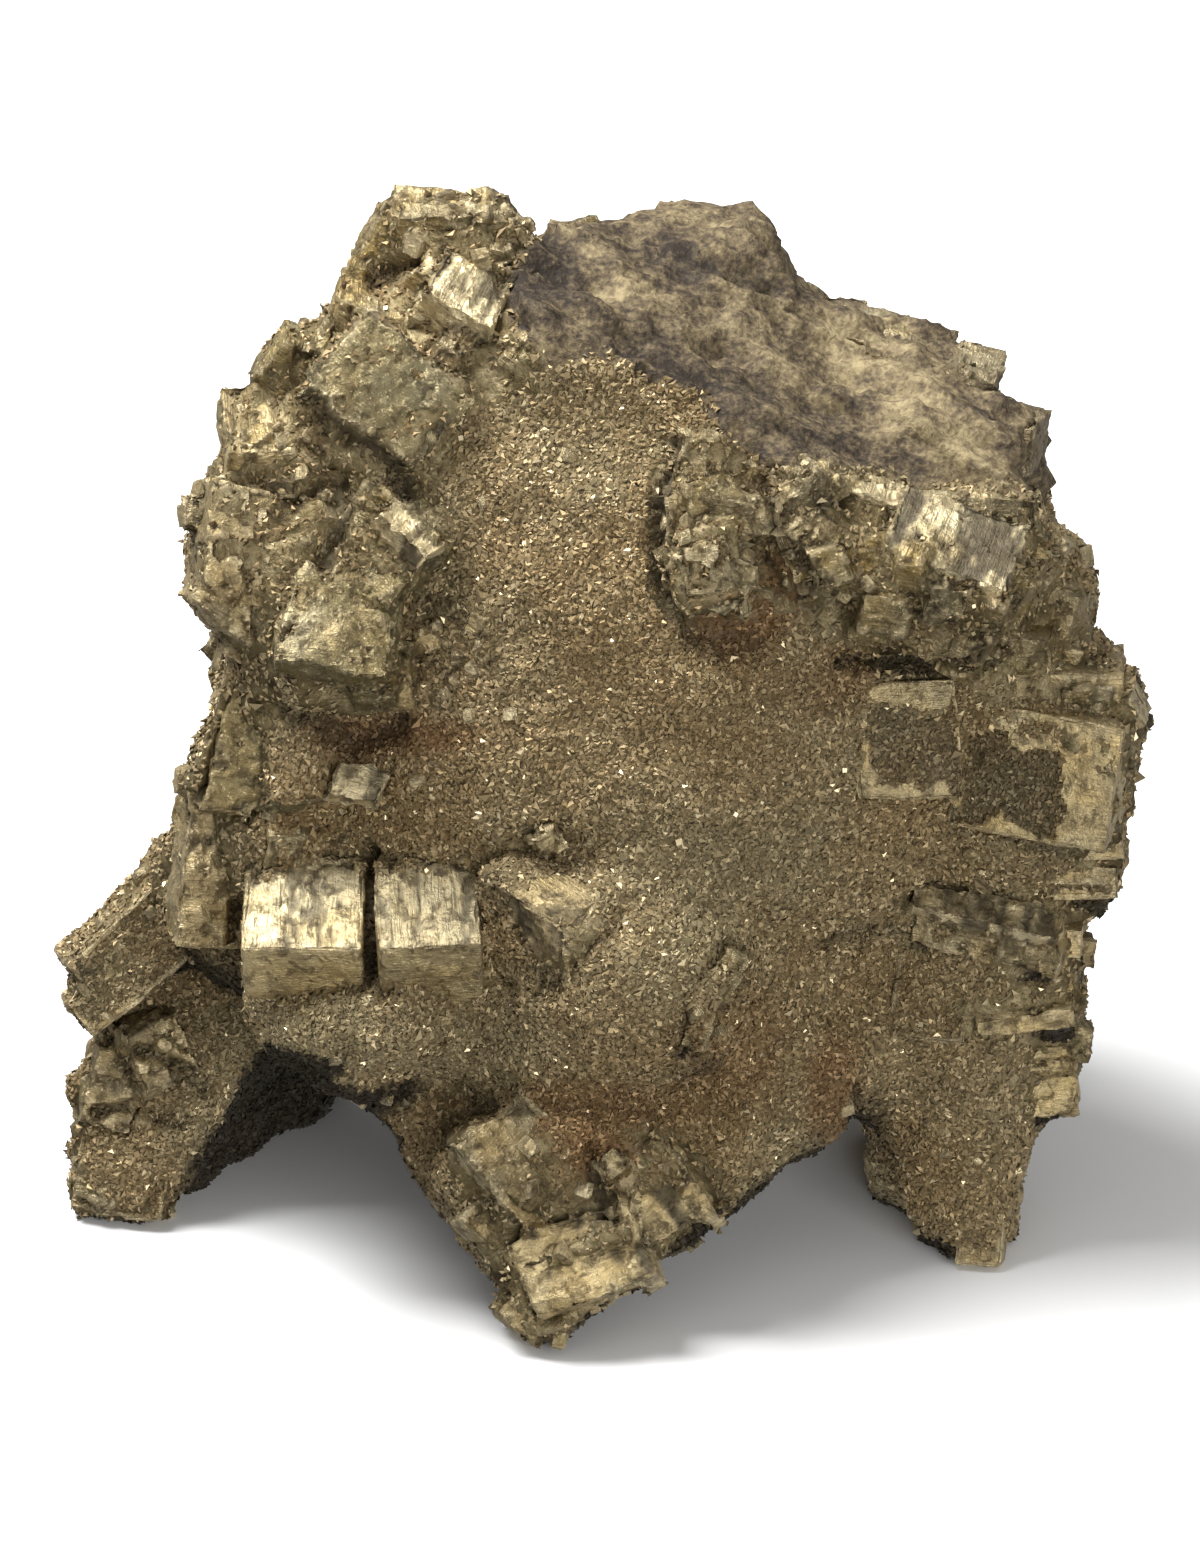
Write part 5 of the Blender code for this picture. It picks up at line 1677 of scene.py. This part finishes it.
def build_camera(settings):
    deselect()
    bpy.ops.object.camera_add()
    camera = bpy.context.object
    camera.name = "camera"
    lens = camera.data
    lens.sensor_fit = "VERTICAL"
    lens.sensor_height = 36.0
    far = settings.camera_distance
    lens.lens = 36.0 * far / settings.view_height
    lens.clip_end = 100.0
    aim = Vector(settings.camera_aim)
    rise = settings.camera_rise
    camera.location = aim + Vector((0, -math.cos(rise), math.sin(rise))) * far
    camera.rotation_euler = (math.pi / 2 - rise, 0, 0)
    bpy.context.scene.camera = camera


def build_stage(settings):
    build_floor(settings)
    build_world(settings)
    soft_light("key", (-0.45, 0.15, 1.05), 0.6, settings.key_power, (0, 0, 0.06))
    soft_light("fill", (0.6, -1.4, 0.25), 1.0, settings.fill_power, (0, 0, 0.06))
    build_camera(settings)
    view = bpy.context.scene.view_settings
    view.view_transform = "Standard"


# ---------------------------------------------------------------- add-on


class PyriteMassSettings(bpy.types.PropertyGroup):
    voxel: FloatProperty(
        name="Voxel", description="Fineness of the mass", default=0.9 * MM, unit="LENGTH",
        precision=5,
    )


class PyriteCrystalSettings(bpy.types.PropertyGroup):
    cluster_voxel: FloatProperty(
        name="Cluster detail", description="Spacing of the points of the worn clusters",
        default=0.45 * MM, unit="LENGTH", precision=5,
    )
    cluster_wear: IntProperty(
        name="Cluster wear", description="How often the worn clusters are smoothed", default=6
    )
    seed: IntProperty(name="Seed", description="Changes chips and pits", default=SEED)


class PyriteDruseSettings(bpy.types.PropertyGroup):
    grain_size: FloatProperty(
        name="Grain size", description="Edge of a common grain", default=0.40 * MM, unit="LENGTH",
        precision=5,
    )
    grain_gap: FloatProperty(
        name="Grain gap", description="Least gap between grains", default=0.27 * MM,
        unit="LENGTH", precision=5,
    )
    grains_per_mm2: FloatProperty(
        name="Grains per mm2", description="How thickly grains grow", default=14.0
    )
    back_share: FloatProperty(
        name="Back share", description="Share of the grains kept on the back", default=0.3,
        subtype="FACTOR",
    )
    whole_share: FloatProperty(
        name="Whole cubes", description="Share of the grains that are whole cubes", default=0.14,
        subtype="FACTOR",
    )


class PyriteStageSettings(bpy.types.PropertyGroup):
    floor_colour: FloatVectorProperty(
        name="Floor colour", description="Colour of the floor", default=(0.9, 0.9, 0.9),
        subtype="COLOR",
    )
    floor_radius: FloatProperty(
        name="Floor radius", description="Radius of the floor", default=4.0, unit="LENGTH"
    )
    sky_strength: FloatProperty(
        name="Sky", description="Strength of the light from all round", default=1.0
    )
    key_power: FloatProperty(
        name="Key light", description="Power of the overhead light", default=28.0, unit="POWER"
    )
    fill_power: FloatProperty(
        name="Fill light", description="Power of the front light", default=19.0, unit="POWER"
    )
    camera_distance: FloatProperty(
        name="Camera distance", description="From the specimen", default=3.0, unit="LENGTH"
    )
    camera_rise: FloatProperty(
        name="Camera rise", description="Angle above the level", default=SHOW_TILT,
        subtype="ANGLE",
    )
    camera_aim: FloatVectorProperty(
        name="Camera aim", description="The point at the middle of the view",
        default=(0.0, -0.0044, 0.0505), subtype="TRANSLATION",
    )
    view_height: FloatProperty(
        name="View height", description="Height of the view at the specimen", default=0.170,
        unit="LENGTH",
    )


class PYRITE_OT_mass(bpy.types.Operator):
    """Make the mass of rock and the base of the druse"""

    bl_idname = "pyrite.mass"
    bl_label = "Mass"

    def execute(self, context):
        build_mass(context.scene.pyrite_mass)
        return {"FINISHED"}


class PYRITE_OT_crystals(bpy.types.Operator):
    """Grow the cube crystals and slabs"""

    bl_idname = "pyrite.crystals"
    bl_label = "Crystals"

    def execute(self, context):
        build_crystals(context.scene.pyrite_crystals)
        return {"FINISHED"}


class PYRITE_OT_crumbs(bpy.types.Operator):
    """Strew small crystals over the mass"""

    bl_idname = "pyrite.crumbs"
    bl_label = "Small crystals"

    def execute(self, context):
        build_crumbs(context.scene.pyrite_crystals)
        return {"FINISHED"}


class PYRITE_OT_druse(bpy.types.Operator):
    """Cover the mass with sparkling grains"""

    bl_idname = "pyrite.druse"
    bl_label = "Druse"

    def execute(self, context):
        build_druse(context.scene.pyrite_druse)
        return {"FINISHED"}


class PYRITE_OT_stage(bpy.types.Operator):
    """Set up the floor, lights and camera"""

    bl_idname = "pyrite.stage"
    bl_label = "Stage"

    def execute(self, context):
        build_stage(context.scene.pyrite_stage)
        return {"FINISHED"}


class PYRITE_PT_panel(bpy.types.Panel):
    bl_idname = "PYRITE_PT_panel"
    bl_label = "Pyrite specimen"
    bl_space_type = "VIEW_3D"
    bl_region_type = "UI"
    bl_category = "Pyrite"

    def draw(self, context):
        for name, operator in STEPS:
            self.layout.operator(operator)
            settings = getattr(context.scene, name)
            for key in settings.__annotations__:
                self.layout.prop(settings, key)


STEPS = [
    ("pyrite_mass", "pyrite.mass"),
    ("pyrite_crystals", "pyrite.crystals"),
    ("pyrite_crystals", "pyrite.crumbs"),
    ("pyrite_druse", "pyrite.druse"),
    ("pyrite_stage", "pyrite.stage"),
]
GROUP_OF = {
    "pyrite_mass": PyriteMassSettings,
    "pyrite_crystals": PyriteCrystalSettings,
    "pyrite_druse": PyriteDruseSettings,
    "pyrite_stage": PyriteStageSettings,
}
CLASSES = list(GROUP_OF.values()) + [
    PYRITE_OT_mass, PYRITE_OT_crystals, PYRITE_OT_crumbs, PYRITE_OT_druse, PYRITE_OT_stage,
    PYRITE_PT_panel,
]


def register():
    for item in CLASSES:
        bpy.utils.register_class(item)
    for name, group in GROUP_OF.items():
        setattr(bpy.types.Scene, name, PointerProperty(type=group))


def unregister():
    for name in GROUP_OF:
        delattr(bpy.types.Scene, name)
    for item in reversed(CLASSES):
        bpy.utils.unregister_class(item)


def main():
    register()
    bpy.ops.pyrite.mass()
    bpy.ops.pyrite.crystals()
    bpy.ops.pyrite.crumbs()
    bpy.ops.pyrite.druse()
    bpy.ops.pyrite.stage()


if __name__ == "__main__":
    main()
